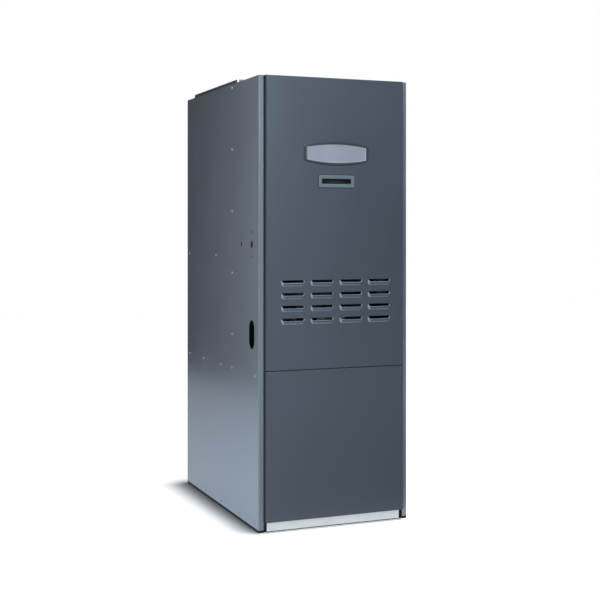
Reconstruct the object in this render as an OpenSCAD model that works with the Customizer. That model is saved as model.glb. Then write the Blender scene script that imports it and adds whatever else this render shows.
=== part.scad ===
// Upflow oil furnace: sheet-steel cabinet with two lift-off doors, drum heat exchanger,
// gun burner in the vestibule and a direct-drive blower below the deck.
// X is to the right, Y goes from the front to the back, Z is up. The origin is on the
// floor, at the middle of the cabinet's plan. Inside at_cabinet(), Y is counted from the
// face of the front flanges.

/* [Cabinet] */
// Outside width
cab_w = 533.4; // [500:0.1:640]
// Depth from the front flanges to the back
cab_d = 787.4; // [770:0.1:880]
// Height without the supply flange
cab_h = 1473.2; // [1450:0.1:1600]
// Thickness of the cabinet sheet
sheet_t = 1.2; // [0.9:0.1:1.5]
// Width of the front flange of each side panel
strip_w = 16.7; // [14:0.1:22]
// Depth of the door seat behind the front flange
seat_y = 8; // [6:0.5:11]
// Width of the door seat
seat_w = 12; // [8:0.5:16]
// Outer radius of the bent edges
bend_r = 2.6; // [2:0.1:4]
// Width of the flanges that join the panels
lap_w = 22; // [20:0.5:26]
// Height of the supply air flange on the top
supply_h = 18; // [12:0.5:30]
// Distance from the side faces to the supply air flange
supply_inset = 19; // [15:0.5:30]
// Distance from the back face to the supply air flange
supply_back = 27.4; // [20:0.1:50]
// Width of the notch at each corner of the supply air flange
supply_notch = 8; // [4:0.5:14]
// Width of the return air opening in the base
return_w = 380; // [300:1:400]
// Depth of the return air opening in the base
return_d = 460; // [350:1:480]
// Distance from the front flanges to the return air opening
return_y = 190; // [150:1:220]

/* [Doors] */
// Gap between a door and the front flange
door_gap = 3.5; // [2:0.1:5]
// How far the doors stand in front of the flanges
door_proud = 16; // [12:0.5:22]
// Outer radius of the door edges
door_r = 3; // [2:0.1:5]
// Height of the seam between the doors
seam_z = 520; // [510:0.5:530]
// Gap between the doors
seam_gap = 1; // [0.6:0.1:3]
// Height of the lower edge of the lower door
foot_z = 33.5; // [30:0.5:45]
// Height of the rail behind the seam
rail_h = 44; // [36:1:56]

/* [Louvres] */
// Louvres in a row
louver_cols = 4; // [2:1:4]
// Rows of louvres
louver_rows = 4; // [2:1:5]
// Distance between the columns
louver_pitch_x = 103; // [95:0.5:115]
// Distance between the rows
louver_pitch_z = 41; // [34:0.5:50]
// Length of a louvre
louver_w = 79; // [60:0.5:86]
// Height of a louvre from its cut edge to its root
louver_h = 18.5; // [16:0.5:24]
// How far a louvre stands out from the door
louver_proud = 8; // [5:0.5:10]
// Height of the top row's cut edge above the seam
louver_rise = 291; // [230:1:400]

/* [Handle and plate] */
// Width of the finger pull's frame
pull_w = 128; // [120:0.5:160]
// Height of the finger pull's frame
pull_h = 41; // [38:0.5:60]
// Width of the finger slot
slot_w = 104; // [80:0.5:110]
// Height of the finger slot
slot_h = 16; // [14:0.5:20]
// Height of the finger pull above the seam
pull_rise = 614; // [560:1:640]
// How far the finger pull's frame stands out
pull_proud = 3; // [2:0.1:5]
// Depth of the finger pocket behind the door face
pocket_d = 24; // [20:0.5:35]
// Wall of the moulded finger pull
pull_t = 2; // [1.5:0.1:2.5]
// Width of the bare plate
plate_w = 231; // [200:0.5:240]
// Height of the bare plate
plate_h = 79; // [60:0.5:85]
// Thickness of the bare plate
plate_t = 3; // [2:0.1:4]
// How far the bare plate's upper and lower edges bow out
plate_bow = 15; // [4:0.5:20]
// Width of the raised border of the bare plate
plate_rim = 5; // [3:0.5:8]
// Height of the bare plate's middle above the seam
plate_rise = 705; // [690:1:730]

/* [Side openings] */
// Distance from the front flanges to the electrical hole and the oil line opening
entry_y = 66; // [60:0.5:80]
// Height of the electrical hole
entry_z = 927.5; // [900:0.5:960]
// Radius of the electrical hole, a 7/8 inch knockout
entry_r = 11.1; // [8:0.1:15]
// Distance between the electrical box's two screws
entry_screws = 81; // [70:0.5:90]
// Distance from the front flanges to the thermostat wire hole
wire_y = 165; // [150:0.5:180]
// Radius of the thermostat wire hole
wire_r = 6.5; // [4:0.1:9]
// Width of the oil line opening
oil_w = 52; // [40:0.5:60]
// Height of the oil line opening
oil_h = 94; // [80:0.5:110]

/* [Screws] */
// Radius of the hex washer head
head_r = 4.6; // [3.5:0.1:5]
// Height of the head
head_h = 2.4; // [1.5:0.1:3]
// Radius of the screw's shank
shank_r = 2.1; // [1.5:0.05:2.5]
// Length of the shank
shank_l = 10; // [6:0.5:14]
// Vertical distance between the screws of the vestibule panel
panel_pitch = 210.4; // [150:0.1:215]

/* [Deck and vestibule] */
// Height of the blower deck's top face
deck_z = 491.2; // [480:0.1:500]
// Distance from the front flanges to the vestibule panel
vest_y = 249; // [245:0.5:260]
// Depth of the shields in front of the side panels
shield_d = 14; // [10:0.5:20]
// Width of each heat shield
shield_w = 346; // [300:1:360]
// Height of each heat shield
shield_h = 820; // [700:1:850]

/* [Heat exchanger] */
// Radius of the combustion drum
drum_r = 185; // [170:0.5:190]
// Height of the combustion drum
drum_h = 540; // [500:1:545]
// Thickness of the drum steel
drum_t = 2; // [1.6:0.1:2.5]
// Radius of the rounded edges of the drum and the radiator
knuckle_r = 16; // [10:0.5:20]
// Height of the drum's support rails
stand_h = 54; // [40:0.5:60]
// Length of the burner sleeve between the vestibule panel and the drum
sleeve_l = 110; // [95:0.5:115]
// Inner radius of the burner sleeve
sleeve_r = 62; // [58:0.1:66]
// Outer radius of the combustion chamber's liner
liner_r = 178; // [160:0.5:178.5]
// Wall of the combustion chamber's liner
liner_t = 26; // [20:0.5:32]
// Height of the combustion chamber's liner
liner_h = 296; // [250:1:298]
// Radius of the radiator above the drum
radiator_r = 200; // [190:0.5:205]
// Height of the radiator
radiator_h = 165; // [160:0.5:170]
// Gap between the drum and the radiator
uptake_l = 80; // [60:0.5:85]
// Radius of the uptake between them
uptake_r = 65; // [50:0.5:80]
// Radius of the flue collar, for 6 inch pipe
flue_r = 76.2; // [63.5:0.1:78]
// Length of the flue collar behind the cabinet
flue_l = 32; // [24:0.5:40]
// Height and width of the flue collar's stop bead
flue_bead = 3; // [2:0.5:5]
// Distance from the middle to each cleanout
cleanout_x = 110; // [100:0.5:120]
// Radius of the cleanout tubes
cleanout_r = 34; // [28:0.5:38]
// Height of the inspection port above the deck
port_rise = 380; // [375:0.5:390]
// Radius of the inspection port's tube
port_r = 20; // [16:0.5:22]

/* [Burner] */
// Height of the blast tube's axis above the deck
burner_rise = 198.8; // [195:0.1:215]
// Radius of the blast tube, 4 inch tube
blast_r = 50.8; // [45:0.1:54]
// Wall of the blast tube
blast_t = 1.5; // [1:0.1:2]
// Distance from the vestibule panel to the rotor axis
rotor_reach = 137; // [132:0.5:142]
// Height of the blast tube's axis above the rotor axis
rotor_drop = 57; // [54:0.5:58]
// Half width of the burner housing
housing_hw = 50; // [44:0.5:56]
// Wall of the burner housing
housing_t = 4; // [3:0.1:5]
// Radius of the burner fan
bfan_r = 59; // [50:0.5:60]
// Blades of the burner fan
bfan_blades = 28; // [20:1:32]
// Radius of the burner motor
bmotor_r = 66; // [58:0.5:70]
// Length of the burner motor
bmotor_l = 112; // [95:0.5:130]
// Radius of the burner motor's shaft
bshaft_r = 6.35; // [5:0.05:7]
// Radius of the fuel pump's shaft
pump_shaft_r = 4; // [3:0.1:5]
// Radius of the fuel pump's mounting hub
pump_hub_r = 27; // [24:0.5:28]
// Length of the fuel pump's body
pump_w = 62; // [50:0.5:75]
// Depth of the fuel pump's body
pump_d = 64; // [56:0.5:76]
// Height of the fuel pump's body
pump_h = 76; // [68:0.5:84]
// Radius of the fuel pump's inlet thread
inlet_r = 6.6; // [5:0.1:8]
// Depth of the fuel pump's inlet thread
inlet_l = 12; // [8:0.5:16]
// Radius of the copper fuel line, 1/4 inch tube
line_r = 3.175; // [2.5:0.005:4]
// Length of the ignition transformer's base plate
igniter_l = 92; // [80:0.5:94]
// Height of the ignition transformer
igniter_h = 72; // [60:0.5:85]
// Edge of the burner control's wiring box
control_w = 90; // [80:0.5:100]
// Depth of the burner control's wiring box
control_d = 40; // [34:0.5:50]

/* [Controls] */
// Distance from the middle to the fan and limit control
limit_x = 150; // [130:0.5:170]
// Height of the fan and limit control above the deck
limit_rise = 569; // [540:0.5:600]
// Width of the fan and limit control's case
limit_w = 76; // [70:0.5:90]
// Depth of the fan and limit control's case
limit_d = 42; // [36:0.5:50]
// Height of the fan and limit control's case
limit_h = 130; // [120:0.5:150]
// Radius of the fan and limit control's dial
dial_r = 27; // [20:0.5:30]
// Radius of the manual fan button and of the reset button
button_r = 5; // [4:0.1:6]
// Length of the sensing element behind the vestibule panel
probe_l = 90; // [60:0.5:94]
// Size of the electrical box across the furnace
jbox_x = 50; // [40:0.5:60]
// Size of the electrical box from front to back
jbox_y = 72; // [60:0.5:80]
// Height of the electrical box
jbox_z = 96; // [92:0.5:110]
// Radius of the flexible conduits
conduit_r = 9; // [7:0.1:10.5]
// Bend radius of the flexible conduits
conduit_bend = 30; // [25:0.5:34]

/* [Blower] */
// Distance from the front flanges to the blower's axis
blower_y = 400; // [380:1:410]
// Distance from the deck's underside to the blower's axis
blower_drop = 215; // [205:0.5:216]
// Radius of the blower wheel, 10 inch wheel
wheel_r = 127; // [115:0.5:127]
// Width of the blower wheel
wheel_w = 200; // [180:0.5:202]
// Blades of the blower wheel
wheel_blades = 40; // [30:1:44]
// Depth of the blades
blade_d = 20; // [16:0.5:24]
// Thickness of the blades
blade_t = 0.9; // [0.7:0.05:1.2]
// Half width of the blower housing
scroll_hw = 120; // [114:0.5:125]
// Gap between the wheel and the housing at the cutoff
cutoff_gap = 9; // [8:0.5:10]
// Growth of the housing's radius round the wheel
scroll_growth = 70; // [60:0.5:72]
// Radius of the housing's inlets
inlet_ring_r = 104; // [95:0.5:106]
// Radius of the blower motor
motor_r = 63; // [55:0.5:66]
// Length of the blower motor
motor_l = 128; // [110:0.5:135]
// Radius of the blower motor's shaft, 1/2 inch
shaft_r = 6.35; // [5:0.05:7]
// Thickness of the air filter
filter_t = 25; // [20:0.5:30]
// Border of the air filter round the return opening
filter_lap = 16; // [12:0.5:20]
// Pleats of the air filter
filter_pleats = 19; // [10:1:24]

/* [Clearances] */
// Between the doors and their seat
door_clear = 0.3; // [0.2:0.05:0.6]
// Round pieces that are fixed in holes
fit_clear = 0.15; // [0.05:0.05:0.25]
// Between a shaft and its bore
run_clear = 0.05; // [0.02:0.01:0.08]
// Between moving faces
move_clear = 0.4; // [0.3:0.05:0.8]

/* [Hidden] */

$fn = 48;
paint = "#57646f";
zinc = "#b8bcbe";
half_w = cab_w / 2;
inner_w = half_w - sheet_t;
strip_x = half_w - strip_w;
// Share of a louvre's height over which it swells from its root
lip_share = 0.62;
// Slope of the plane that trims a louvre's lip, in degrees
lip_cut = 50;
door_hw = strip_x - door_gap;
door_back = seat_y - door_clear;
seat_x = strip_x - seat_w;
base_y = seat_y + 6;
rear_y = cab_d - 2 * sheet_t;
base_lap = 25;
clip_h = 24;
clip_reach = 10;
// Heights of the door clips: two from the seam down, one from the seam up, one from the top down
clip_zs = [seam_z - 380, seam_z - 60, seam_z + 80, cab_h - 120];

supply_x = half_w - supply_inset;
supply_y0 = vest_y + 11;
supply_y1 = cab_d - supply_back;

screw_y_panel = vest_y + lap_w / 2;
screw_z_top = cab_h - 13.2;
screw_z_deck = deck_z + lap_w / 2;
screw_z_base = base_lap - 6;
shield_y0 = cab_d - 16.4 - shield_w;
shield_z0 = deck_z + 70;
screw_z_shield = shield_z0 + 323;
// The rows of screws on the side panels, by their distances from the front flanges
deck_screws = [31, screw_y_panel + 3, cab_d - 403.4, cab_d - 206.4, cab_d - 31.4];
base_screws = [46, 198, 390, 561];
shield_screws = [shield_y0 + lap_w / 2, shield_y0 + shield_w - lap_w / 2];
panel_rows = 5;

burner_z = deck_z + burner_rise;
rotor_y = vest_y - rotor_reach;
rotor_z = burner_z - rotor_drop;
flange_t = 6;
gasket_t = 3;
flange_r = 94;
stud_circle = 79;
stud_r = 4;
plate_y = vest_y - gasket_t - flange_t;
socket_y = plate_y - 33;
scroll_r0 = bfan_r + 9;
duct_top = rotor_drop + 51;
duct_bottom = rotor_drop - 47;
duct_angle = 8;
blast_y0 = socket_y - 3;
nozzle_y = socket_y - 17;
electrode_r = 6;
electrode_l = 150;
electrode_x = 16;
sleeve_t = 2;
hx_y = vest_y + sheet_t + sleeve_l + drum_r;
drum_z = deck_z + stand_h;
liner_gap = 1;
blast_y1 = hx_y - liner_r + 4;
radiator_z = drum_z + drum_h + uptake_l;
cleanout_out = 12;
flue_z = radiator_z + radiator_h / 2;
port_z = deck_z + port_rise;
port_y0 = vest_y - 14;
port_pin_z = port_z + port_r + 8;
port_pin_r = 2.5;
cover_t = 2;

wheel_z = deck_z - sheet_t - blower_drop;
scroll_start = 75;
scroll_r = wheel_r + cutoff_gap;
scroll_end = scroll_r + scroll_growth;
scroll_top = blower_drop;
outlet_y0 = scroll_r * cos(scroll_start);
outlet_y1 = scroll_end;
outlet_lap = 14;
hub_l = 22;
hub_r = 20;
bhub_r = 14;
ring_t = 2;
blade_lean = 14;
blade_curl = 1.6;
motor_x = 24;
motor_crown = 16;
shaft_end = 20;

filter_z = sheet_t + 14;
filter_x = return_w / 2 + filter_lap;
media_t = 2;
limit_z = deck_z + limit_rise;
housing_x = housing_hw + move_clear;
igniter_y0 = rotor_y + 2;
igniter_z = rotor_z + duct_top;
hinge_r = 5;
pin_r = 2;
hinge_x = housing_hw + hinge_r + 1;
hinge_z = igniter_z + 6;
control_z = burner_z + 22;
control_y = rotor_y + 2;
control_x = -housing_hw - 0.6;
control_dome = 26;
reset_x = control_x - control_d - control_dome / 2;
reset_z = control_z + 24;
dial_z = limit_z + 24;
button_z = limit_z - 38;
stem_r = 4;
pump_x = -housing_hw - 14;
outlet_x = pump_x - 28;
outlet_y = rotor_y + 18;
jbox_y0 = entry_y - jbox_y / 2;
jbox_z0 = entry_z - jbox_z / 2;
conduit_x = -inner_w + jbox_x / 2;

module at_cabinet() {
    translate([0, -cab_d / 2, 0]) children();
}

module both_sides() {
    children();
    mirror([1, 0, 0]) children();
}

// A block between two corners
module block(lo, hi) {
    translate(lo) cube([hi[0] - lo[0], hi[1] - lo[1], hi[2] - lo[2]]);
}

module rod_x(r, x0, x1, y, z) {
    translate([x0, y, z]) rotate([0, 90, 0]) cylinder(r = r, h = x1 - x0);
}

module rod_y(r, y0, y1, x, z) {
    translate([x, y0, z]) rotate([-90, 0, 0]) cylinder(r = r, h = y1 - y0);
}

module rod_z(r, z0, z1, x, y) {
    translate([x, y, z0]) cylinder(r = r, h = z1 - z0);
}

// Extrudes an outline drawn in Y and Z along X
module along_x(x0, x1) {
    translate([x0, 0, 0]) rotate([90, 0, 90]) linear_extrude(x1 - x0) children();
}

// Extrudes an outline drawn in X and Z along Y
module along_y(y0, y1) {
    translate([0, y1, 0]) rotate([90, 0, 0]) linear_extrude(y1 - y0) children();
}

// A rectangle round the origin with rounded corners
module rounded(w, h, r) {
    square([w, h - 2 * r], center = true);
    square([w - 2 * r, h], center = true);
    for (sx = [-1, 1], sy = [-1, 1])
        translate([sx * (w / 2 - r), sy * (h / 2 - r)]) circle(r);
}

// A quarter bend of sheet, curving into the quadrant of negative x and y
module bend(r) {
    intersection() {
        difference() {
            circle(r);
            circle(r - sheet_t);
        }
        translate([-r, -r]) square(r);
    }
}

// A quarter turn of round rod from +x to +y, its middle bend_at from the origin
module elbow(r, bend_at) {
    rotate_extrude(angle = 90) translate([bend_at, 0]) circle(r);
}

// Plan of a side panel: wall, front flange, return, door seat and back flange
module side_plan() {
    translate([-half_w, bend_r]) square([sheet_t, cab_d - sheet_t - bend_r]);
    translate([-half_w + bend_r, bend_r]) bend(bend_r);
    translate([-half_w + bend_r, 0]) square([strip_w - bend_r, sheet_t]);
    translate([-strip_x - sheet_t, 0]) square([sheet_t, seat_y + sheet_t]);
    translate([-strip_x - sheet_t, seat_y]) square([seat_w + sheet_t, sheet_t]);
    translate([-half_w, rear_y]) square([lap_w, sheet_t]);
}

// Screw places on a side panel, as [y, z]
function side_places() = concat(
    [for (i = [0 : panel_rows - 1]) [screw_y_panel, screw_z_top - i * panel_pitch]],
    [for (y = deck_screws) [y, screw_z_deck]],
    [for (y = base_screws) [y, screw_z_base]],
    [for (y = shield_screws) [y, screw_z_shield]]
);

// Screw places on the back panel, as [x, z]
function back_places() = [
    for (x = [-half_w + lap_w / 2, half_w - lap_w / 2])
        for (i = [0 : 6]) [x, 40 + i * (cab_h - 80) / 6]
];

module side_screw_holes() {
    for (p = side_places())
        rod_x(shank_r + fit_clear, -half_w - 1, -half_w + 4 * sheet_t, p[0], p[1]);
}

module back_screw_holes() {
    for (p = back_places())
        rod_y(shank_r + fit_clear, rear_y - 1, cab_d + 1, p[0], p[1]);
}

module box_screw_holes() {
    for (s = [-1, 1])
        rod_x(shank_r + fit_clear, -half_w - 1, -inner_w + 3, entry_y, entry_z + s * entry_screws / 2);
}

module side_panel(boxed) {
    difference() {
        linear_extrude(cab_h) side_plan();
        side_screw_holes();
        back_screw_holes();
        if (boxed) box_screw_holes();
        rod_x(entry_r, -half_w - 1, -inner_w + 1, entry_y, entry_z);
        rod_x(wire_r, -half_w - 1, -inner_w + 1, wire_y, entry_z);
        along_x(-half_w - 1, -inner_w + 1) translate([entry_y, rotor_z]) {
            square([oil_w, oil_h - oil_w], center = true);
            for (s = [-1, 1]) translate([0, s * (oil_h - oil_w) / 2]) circle(oil_w / 2);
        }
    }
}

module left_side_panel() {
    color(paint) at_cabinet() side_panel(true);
}

module right_side_panel() {
    color(paint) at_cabinet() mirror([1, 0, 0]) side_panel(false);
}

module back_panel() {
    color(paint) at_cabinet() difference() {
        block([-half_w, cab_d - sheet_t, 0], [half_w, cab_d, cab_h]);
        rod_y(flue_r + fit_clear, cab_d - 2 * sheet_t, cab_d + 1, 0, flue_z);
        back_screw_holes();
    }
}

// One turned-up side of the supply flange, its corners cut back by the notch
module supply_side(length) {
    polygon([[-length / 2 + 1, 0], [length / 2 - 1, 0],
        [length / 2 - supply_notch, supply_h], [-length / 2 + supply_notch, supply_h]]);
}

module top_panel() {
    supply_d = supply_y1 - supply_y0;
    color(paint) at_cabinet() {
        difference() {
            block([-inner_w, base_y, cab_h - sheet_t], [inner_w, rear_y, cab_h]);
            block([-supply_x + sheet_t, supply_y0 + sheet_t, cab_h - 3],
                [supply_x - sheet_t, supply_y1 - sheet_t, cab_h + 1]);
        }
        block([-seat_x, seat_y, cab_h - base_lap], [seat_x, seat_y + sheet_t, cab_h]);
        block([-seat_x, seat_y, cab_h - sheet_t], [seat_x, base_y, cab_h]);
        both_sides() block([inner_w - sheet_t, base_y, cab_h - lap_w / 2 + 3],
            [inner_w, rear_y, cab_h]);
        for (y = [supply_y0, supply_y1 - sheet_t])
            translate([0, 0, cab_h]) along_y(y, y + sheet_t) supply_side(2 * supply_x);
        for (x = [-supply_x, supply_x - sheet_t])
            translate([0, supply_y0 + supply_d / 2, cab_h]) along_x(x, x + sheet_t)
                supply_side(supply_d);
    }
}

module base_pan() {
    color(zinc) at_cabinet() difference() {
        union() {
            block([-inner_w, base_y, 0], [inner_w, rear_y, sheet_t]);
            block([-inner_w, base_y, 0], [inner_w, base_y + sheet_t, base_lap]);
            block([-inner_w, rear_y - sheet_t, 0], [inner_w, rear_y, base_lap]);
            both_sides() block([inner_w - sheet_t, base_y, 0], [inner_w, rear_y, base_lap]);
            filter_seat();
        }
        block([-return_w / 2, return_y, -1], [return_w / 2, return_y + return_d, filter_z + 1]);
        both_sides() side_screw_holes();
    }
}

// The raised frame round the return opening that the filter lies on
module filter_seat() {
    reach = filter_lap + 4;
    x = return_w / 2 + reach;
    y0 = return_y - reach;
    y1 = return_y + return_d + reach;
    difference() {
        block([-x, y0, 0], [x, y1, filter_z]);
        block([-x + sheet_t, y0 + sheet_t, -1], [x - sheet_t, y1 - sheet_t, filter_z - sheet_t]);
    }
}

module kick_rail() {
    top = foot_z - 1;
    color("#dadde0") at_cabinet() {
        block([-seat_x, 2, 0], [seat_x, 2 + sheet_t, top]);
        block([-seat_x, 2, 0], [seat_x, base_y, sheet_t]);
        block([-seat_x, 2, top - sheet_t], [seat_x, base_y, top]);
    }
}

module center_rail() {
    low = seam_z - rail_h / 2;
    high = seam_z + rail_h / 2;
    rail_x = seat_x - fit_clear;
    color(paint) at_cabinet() {
        block([-rail_x, seat_y, low], [rail_x, seat_y + sheet_t, high]);
        block([-rail_x, seat_y, high - sheet_t], [rail_x, base_y, high]);
        block([-rail_x, seat_y, low], [rail_x, base_y, low + sheet_t]);
    }
}

module blower_deck() {
    deck_x = inner_w;
    color(zinc) at_cabinet() difference() {
        union() {
            block([-deck_x, base_y, deck_z - sheet_t], [deck_x, rear_y, deck_z]);
            block([-deck_x, base_y, deck_z - sheet_t], [deck_x, base_y + sheet_t, seam_z + rail_h / 2]);
            both_sides() block([deck_x - sheet_t, base_y, deck_z - sheet_t],
                [deck_x, rear_y, deck_z + lap_w]);
        }
        block([-scroll_hw + sheet_t, blower_y + outlet_y0 + sheet_t, deck_z - 5],
            [scroll_hw - sheet_t, blower_y + outlet_y1 - sheet_t, deck_z + 1]);
        both_sides() side_screw_holes();
    }
}

// Places of the four burner studs, as [x, z]
function stud_places() = [
    for (a = [45 : 90 : 315]) [stud_circle * cos(a), burner_z + stud_circle * sin(a)]
];

module stud_holes(r, y0, y1) {
    for (p = stud_places()) rod_y(r, y0, y1, p[0], p[1]);
}

module vestibule_panel() {
    panel_x = inner_w - sheet_t;
    lap_z = deck_z + lap_w + 1;
    y1 = vest_y + sheet_t;
    color(zinc) at_cabinet() difference() {
        union() {
            block([-panel_x, vest_y, deck_z], [panel_x, y1, cab_h - sheet_t]);
            both_sides() block([panel_x, vest_y, lap_z], [inner_w, vest_y + lap_w, cab_h - lap_w / 2 + 2]);
            block([-panel_x, vest_y, deck_z], [panel_x, vest_y + lap_w, deck_z + sheet_t]);
        }
        rod_y(sleeve_r, vest_y - 1, y1 + 1, 0, burner_z);
        stud_holes(stud_r + fit_clear, vest_y - 1, y1 + 1);
        rod_y(port_r + fit_clear, vest_y - 1, y1 + 1, 0, port_z);
        for (s = [-1, 1]) rod_y(cleanout_r + fit_clear, vest_y - 1, y1 + 1, s * cleanout_x, flue_z);
        rod_y(button_r + 5 + fit_clear, vest_y - 1, y1 + 1, limit_x, limit_z);
        both_sides() side_screw_holes();
    }
}

// Plan of a heat shield: a hat section with both feet on the side panel
module shield_plan() {
    y1 = shield_y0 + shield_w;
    wall_x = -inner_w;
    plate_x = -inner_w + shield_d;
    for (y = [shield_y0, y1 - lap_w]) translate([wall_x, y]) square([sheet_t, lap_w]);
    for (y = [shield_y0 + lap_w - sheet_t, y1 - lap_w]) translate([wall_x, y]) square([shield_d, sheet_t]);
    translate([plate_x - sheet_t, shield_y0 + lap_w - sheet_t])
        square([sheet_t, shield_w - 2 * lap_w + 2 * sheet_t]);
}

module heat_shield() {
    difference() {
        translate([0, 0, shield_z0]) linear_extrude(shield_h) shield_plan();
        side_screw_holes();
    }
}

module left_heat_shield() {
    color(zinc) at_cabinet() heat_shield();
}

module right_heat_shield() {
    color(zinc) at_cabinet() mirror([1, 0, 0]) heat_shield();
}

// A hex washer head screw whose shank points along +Z from its seat
module sheet_screw() {
    translate([0, 0, -head_h]) cylinder(r = head_r * 0.8, h = head_h, $fn = 6);
    translate([0, 0, -head_h / 4]) cylinder(r = head_r, h = head_h / 4);
    cylinder(r = shank_r, h = shank_l);
}

module cabinet_screws() {
    color("#c9b06a") at_cabinet() {
        both_sides() for (p = side_places())
            translate([-half_w, p[0], p[1]]) rotate([0, 90, 0]) sheet_screw();
        for (s = [-1, 1])
            translate([-half_w, entry_y, entry_z + s * entry_screws / 2]) rotate([0, 90, 0]) sheet_screw();
        for (p = back_places())
            translate([p[0], cab_d, p[1]]) rotate([90, 0, 0]) sheet_screw();
    }
}

// Spring clips on the door seats, two for each door
module door_clips() {
    color(zinc) at_cabinet() both_sides() for (z = clip_zs)
        translate([-seat_x, seat_y + sheet_t, z]) {
            block([-seat_w + 2, 0, 0], [0, sheet_t, clip_h]);
            block([-sheet_t, 0, 0], [0, clip_reach, clip_h]);
        }
}

// A slab between two heights with rounded front edges
module slab(hw, z0, z1, y0, y1, r) {
    intersection() {
        translate([0, 0, z0]) linear_extrude(z1 - z0) {
            translate([-hw, y0 + r]) square([2 * hw, y1 - y0 - r]);
            translate([-hw + r, y0]) square([2 * hw - 2 * r, r + 1]);
            for (s = [-1, 1]) translate([s * (hw - r), y0 + r]) circle(r);
        }
        along_x(-hw, hw) {
            translate([y0 + r, z0]) square([y1 - y0 - r, z1 - z0]);
            translate([y0, z0 + r]) square([r + 1, z1 - z0 - 2 * r]);
            for (z = [z0 + r, z1 - r]) translate([y0 + r, z]) circle(r);
        }
    }
}

module door_pan(z0, z1) {
    difference() {
        slab(door_hw, z0, z1, -door_proud, door_back, door_r);
        slab(door_hw - sheet_t, z0 + sheet_t, z1 - sheet_t, -door_proud + sheet_t, door_back + 1,
            door_r - sheet_t);
    }
}

// How far a louvre stands out at a height below its cut edge, from 0 at the root to 1
function lip_curve(s) = sqrt(1 - pow(1 - s, 2));

// Half section of a louvre, from its root up to its cut edge at a height
function lip_points(p, h, top) = concat(
    [for (i = [0 : 4]) let (s = i / 4) [p * lip_curve(s), -h + s * h * lip_share]],
    [[p, top], [0, top]]
);

// A louvre's bulge, its cut edge at height 0 and the door face at y 0
module louver_bulge(p, h) {
    run = louver_w / 2 - louver_proud;
    translate([run, 0, 0]) rotate([90, 0, -90]) linear_extrude(2 * run) polygon(lip_points(p, h, 0));
    for (s = [-1, 1])
        translate([s * run, 0, 0]) intersection() {
            rotate_extrude() polygon(lip_points(p, h, 0));
            block([-2 * p, -2 * p, -h - 1], [2 * p, 0, 1]);
        }
}

// The formed lip, still solid, trimmed by a plane that rises towards the ends
module louver_lip() {
    difference() {
        louver_bulge(louver_proud, louver_h);
        translate([-louver_w, 0, 0]) rotate([lip_cut, 0, 0])
            block([0, -3 * louver_proud, 0], [2 * louver_w, 0, 3 * louver_proud]);
    }
}

// The hollow behind a lip and the slot through the door's sheet
module louver_opening() {
    run = louver_w / 2 - louver_proud;
    sink = sheet_t / 4;
    ledge = sheet_t / 2;
    pts = lip_points(louver_proud - sheet_t - ledge, louver_h - sheet_t - ledge, ledge);
    outline = [for (i = [0 : 5]) [run + pts[i][0], pts[i][1]]];
    back = [for (i = [5 : -1 : 0]) [-run - pts[i][0], pts[i][1]]];
    translate([0, sink, 0]) louver_bulge(louver_proud - sheet_t, louver_h - sheet_t);
    along_y(-sheet_t, sheet_t * 2) polygon(concat(outline, back));
}

module at_louvers() {
    for (i = [0 : louver_cols - 1], j = [0 : louver_rows - 1])
        translate([(i - (louver_cols - 1) / 2) * louver_pitch_x, -door_proud,
            seam_z + louver_rise - j * louver_pitch_z]) children();
}

module upper_door() {
    pull_z = seam_z + pull_rise;
    color(paint) at_cabinet() difference() {
        union() {
            door_pan(seam_z + seam_gap / 2, cab_h);
            at_louvers() louver_lip();
        }
        at_louvers() louver_opening();
        block([-slot_w / 2 - pull_t - fit_clear, -door_proud - 1, pull_z - slot_h / 2 - pull_t - fit_clear],
            [slot_w / 2 + pull_t + fit_clear, 0, pull_z + slot_h / 2 + pull_t + fit_clear]);
    }
}

module lower_door() {
    color(paint) at_cabinet() door_pan(foot_z, seam_z - seam_gap / 2);
}

// Moulded finger pull: a proud frame and a pocket behind the door face
module handle_insert() {
    face = -door_proud;
    pull_z = seam_z + pull_rise;
    back = face + pocket_d;
    color("#64757f") at_cabinet() translate([0, 0, pull_z]) difference() {
        union() {
            along_y(face - pull_proud, face) rounded(pull_w, pull_h, 2.5);
            block([-slot_w / 2 - pull_t, face - 1, -slot_h / 2 - pull_t],
                [slot_w / 2 + pull_t, back, slot_h / 2 + pull_t]);
        }
        along_y(face - pull_proud - 1, back - pull_t) rounded(slot_w, slot_h, 2);
    }
}

// A rectangle whose upper and lower edges are arcs that bow out
module bowed(w, h, bow) {
    r = (pow(w / 2, 2) + pow(bow, 2)) / (2 * bow);
    intersection() {
        square([w, h], center = true);
        translate([0, r - h / 2]) circle(r, $fn = 180);
        translate([0, h / 2 - r]) circle(r, $fn = 180);
    }
}

// A bare plate with bowed edges and a raised border
module name_plate() {
    face = -door_proud;
    color("#9298a6") at_cabinet() translate([0, 0, seam_z + plate_rise]) difference() {
        along_y(face - plate_t, face) bowed(plate_w, plate_h, plate_bow);
        along_y(face - plate_t - 1, face - plate_t + 1)
            bowed(plate_w - 2 * plate_rim, plate_h - 2 * plate_rim, plate_bow);
    }
}

// A closed drum with rounded knuckles, standing on height 0
module drum_solid(r, h, knuckle) {
    rotate_extrude() {
        square([r - knuckle, h]);
        translate([0, knuckle]) square([r, h - 2 * knuckle]);
        for (z = [knuckle, h - knuckle]) translate([r - knuckle, z]) circle(knuckle);
    }
}

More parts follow.
